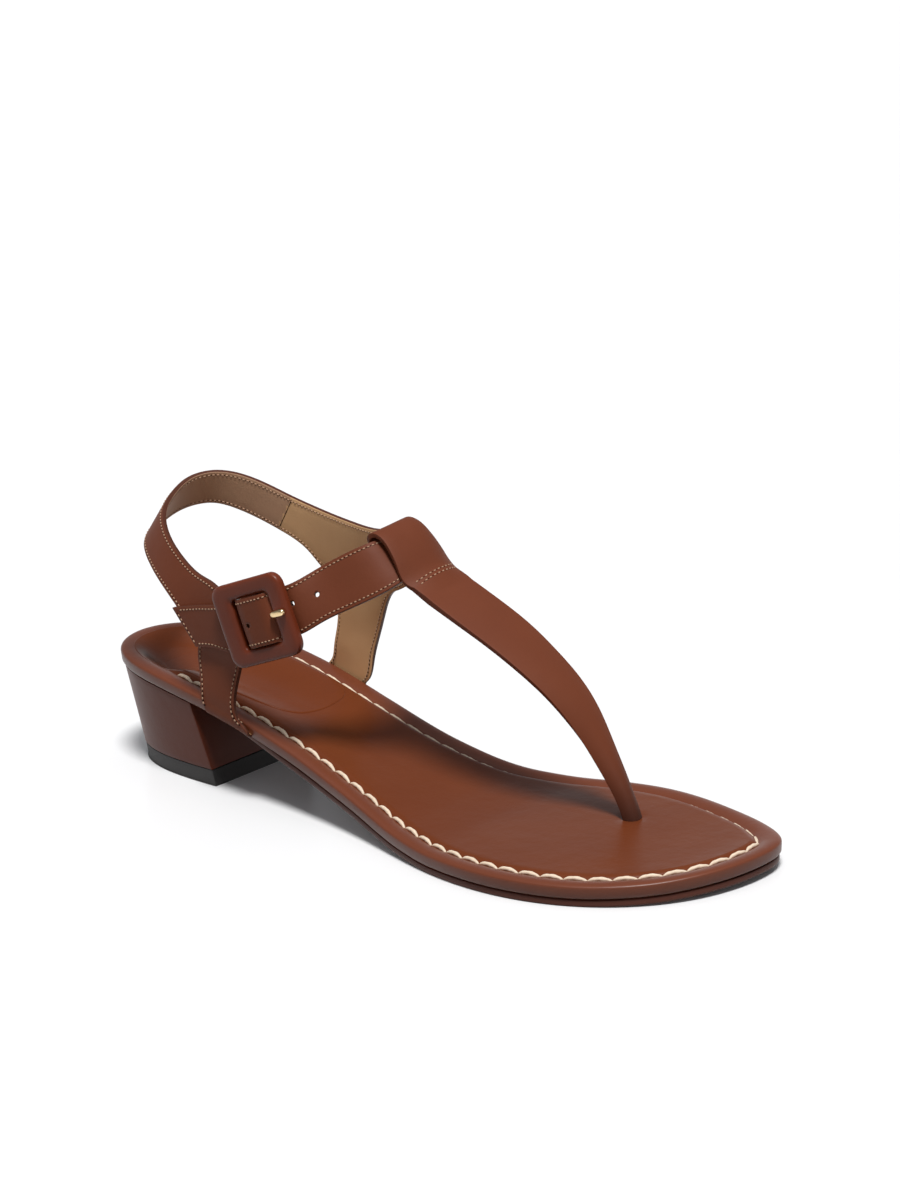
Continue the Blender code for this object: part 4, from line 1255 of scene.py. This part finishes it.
# Heel: a moulded block covered in the upper's calf, raked forward and narrowing to the floor,
# screwed up through the heel seat.
BREAST_CORNER = 2.0
HEEL_INSET = 0.9
HEEL_RAKE = 6.2
HEEL_TAPER = 0.89
HEEL_FOOT = 0.84
HEEL_SIDE_POINTS = 121
HEEL_FRONT_POINTS = 25
HEEL_STEPS = 14
HEEL_ACROSS = 10
HEEL_ROUND = 0.6
LIFT_THICK = 5.2
base = inset(outline(FOOTBED_OUTLINE, SOLE_PER_SIDE), HEEL_INSET)
half = len(base) // 2
corner_l = [BREAST_X, np.interp(BREAST_X, *base[:half].T)]
corner_m = [BREAST_X, np.interp(BREAST_X, *np.vstack([base[:1], base[:half:-1]]).T)]
lateral = [p for p in base[:half] if p[0] < BREAST_X - BREAST_CORNER]
medial = [p for p in base[:half:-1] if p[0] < BREAST_X - BREAST_CORNER]
side = resample([corner_l] + lateral[::-1] + medial + [corner_m], HEEL_SIDE_POINTS)
front = np.linspace(corner_m, corner_l, HEEL_FRONT_POINTS)[1:-1]
middle = HEEL_SIDE_POINTS // 2
heel_ring = np.vstack([side[middle:], front, side[:middle]])
heel_count = len(heel_ring)


def heel_level(share):
    """The heel's ring part of the way to the floor, raked forward and narrowed."""
    x = heel_ring[:, 0] + HEEL_RAKE * share
    y = heel_ring[:, 1] * (1.0 - (1.0 - HEEL_TAPER) * share)
    return np.column_stack([x, y])


heel_bottom = LIFT_THICK + SEAT_GAP
points = []
for j in range(HEEL_STEPS + 1):
    share = j / HEEL_STEPS
    level = heel_level(share * HEEL_FOOT)
    for i in range(heel_count):
        high = sole_line(heel_ring[i, 0]) + OUTSOLE_THICK
        points.append((*level[i], high + (heel_bottom - high) * share))
faces = ring_faces(HEEL_STEPS + 1, heel_count)
faces += cap(0, heel_count, HEEL_ACROSS, points, lambda x, y: sole_line(x) + OUTSOLE_THICK)
faces += cap(
    HEEL_STEPS * heel_count, heel_count, HEEL_ACROSS, points, lambda x, y: heel_bottom)
heel_calf = calf_leather("plated_heel_calf", "#703827", "#622F1F", 0.4, 0.2)
heel = make_piece("heel_cover", points, faces, [heel_calf])


def soften(piece, width):
    """Round a piece's hard corners."""
    bevel = piece.modifiers.new("soft corners", "BEVEL")
    bevel.width = width * MM
    bevel.segments = 3
    bevel.limit_method = "ANGLE"
    bevel.angle_limit = math.radians(32.0)
    settle(piece)


soften(heel, HEEL_ROUND)
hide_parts("heel")

# Heel lift: a cut sheet of black rubber, nailed under the heel and trimmed flush with it.
# Its side follows the heel's rake, and its tread edge is broken so that it doesn't catch.
LIFT_LEVELS = [
    # share of the heel's lean, inset, height
    (0.86, 0.0, LIFT_THICK), (0.925, 0.0, 2.6), (0.99, 0.0, 0.3), (0.99, 0.3, 0.0),
]
LIFT_ACROSS = 8
LIFT_ROUND = 0.35
GRIT_MM = 0.7
points = []
for share, distance, high in LIFT_LEVELS:
    points += [(x, y, high) for x, y in inset(heel_level(share), distance)]
faces = ring_faces(len(LIFT_LEVELS), heel_count)
faces += cap(0, heel_count, LIFT_ACROSS, points, lambda x, y: LIFT_THICK)
faces += cap(
    (len(LIFT_LEVELS) - 1) * heel_count, heel_count, LIFT_ACROSS, points, lambda x, y: 0.0)
# Vulcanised rubber, ground at the edge: dull black with a fine grit, drawn coarse so that it shows.
rubber = bpy.data.materials.new("black_heel_rubber")
rubber.use_nodes = True
tree = rubber.node_tree
shader = tree.nodes["Principled BSDF"]
shader.inputs["Base Color"].default_value = linear("#262322")
shader.inputs["Roughness"].default_value = 0.6
place = add_node(tree, "ShaderNodeTexCoord", {}, {}).outputs["Object"]
grit = add_node(
    tree, "ShaderNodeTexNoise", {"Scale": 1000.0 / GRIT_MM, "Detail": 3.0}, {"Vector": place})
ground = add_node(
    tree, "ShaderNodeBump", {"Strength": 0.2, "Distance": 0.0002},
    {"Height": grit.outputs["Fac"]})
tree.links.new(ground.outputs[0], shader.inputs["Normal"])
heel_lift = make_piece("heel_lift_rubber", points, faces, [rubber])
soften(heel_lift, LIFT_ROUND)
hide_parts("heel_lift")

# Studio: a white acrylic table with a faint blurred reflection, one large softbox overhead,
# tilted a little in from the toe and the lateral side, a surround white near the horizon and dim
# above, and the camera of the photograph.
FLOOR_HALF = 15.0
ROOM = [
    # height of the direction, tone of the surround: bright cove, dim walls, dim roof
    (0.001, "#F8F8F8"), (0.13, "#F8F8F8"), (0.3, "#84868A"), (0.9, "#84868A"),
]
floor_mesh = bpy.data.meshes.new("acrylic_table")
floor_corners = [(-1, -1), (1, -1), (1, 1), (-1, 1)]
floor_mesh.from_pydata(
    [(x * FLOOR_HALF, y * FLOOR_HALF, 0.0) for x, y in floor_corners], [], [(0, 1, 2, 3)])
acrylic = bpy.data.materials.new("white_acrylic")
acrylic.use_nodes = True
shader = acrylic.node_tree.nodes["Principled BSDF"]
shader.inputs["Base Color"].default_value = linear("#FCFCFC")
shader.inputs["Roughness"].default_value = 0.2
shader.inputs["Specular IOR Level"].default_value = 0.4
floor_mesh.materials.append(acrylic)
floor = bpy.data.objects.new("acrylic_table", floor_mesh)
bpy.context.scene.collection.objects.link(floor)
# The table sends no light back up, so the shoe's underside stays dark.
floor.visible_diffuse = False

surround = bpy.data.worlds.new("white_surround")
surround.use_nodes = True
tree = surround.node_tree
sky = tree.nodes["Background"]
sky.inputs["Strength"].default_value = 1.0
way = add_node(tree, "ShaderNodeTexCoord", {}, {}).outputs["Generated"]
height = add_node(tree, "ShaderNodeSeparateXYZ", {}, {0: way})
room = add_node(tree, "ShaderNodeValToRGB", {}, {0: height.outputs["Z"]})
for position, tone in ROOM:
    stop = room.color_ramp.elements.new(position)
    stop.color = linear(tone)
tree.links.new(room.outputs["Color"], sky.inputs["Color"])
bpy.context.scene.world = surround
lamp = bpy.data.lights.new("overhead_silk", "SUN")
lamp.energy = 3.0
lamp.angle = math.radians(15.0)
overhead = bpy.data.objects.new("overhead_silk", lamp)
overhead.rotation_euler = (math.radians(12.5), math.radians(16.0), 0.0)
bpy.context.scene.collection.objects.link(overhead)

# The lens stands 43 degrees round from the lateral side and 18 degrees up, rolled a little, and
# looks past the shoe's middle so that the shoe sits left of and below the frame's middle.
AZIMUTH, ELEVATION, ROLL = (math.radians(angle) for angle in (43.27, 18.2, -3.68))
FOCAL_PIXELS = 3525.0
PHOTO_HEIGHT = 1200.0
LOOK_PAST = (31.0, 85.0)
LENS_AT = np.array([831.6, -750.6, 378.9])
level = math.cos(ELEVATION)
back = np.array([math.sin(AZIMUTH) * level, -math.cos(AZIMUTH) * level, math.sin(ELEVATION)])
right = np.array([math.cos(AZIMUTH), math.sin(AZIMUTH), 0.0])
top = np.cross(back, right)
lens_right = math.cos(ROLL) * right + math.sin(ROLL) * top
lens_top = math.cos(ROLL) * top - math.sin(ROLL) * right
axis = unit(
    back - lens_right * LOOK_PAST[0] / FOCAL_PIXELS - lens_top * LOOK_PAST[1] / FOCAL_PIXELS)
lens_right = unit(np.cross(lens_top, axis))
lens_top = np.cross(axis, lens_right)
stand = LENS_AT * MM + MIDLINE
camera_data = bpy.data.cameras.new("camera")
camera_data.sensor_width = 36.0
camera_data.lens = FOCAL_PIXELS / PHOTO_HEIGHT * camera_data.sensor_width
camera = bpy.data.objects.new("camera", camera_data)
camera.matrix_world = Matrix([
    (lens_right[k], lens_top[k], axis[k], stand[k]) for k in range(3)] + [(0.0, 0.0, 0.0, 1.0)])
bpy.context.scene.collection.objects.link(camera)
bpy.context.scene.camera = camera
bpy.context.scene.view_settings.view_transform = "Standard"
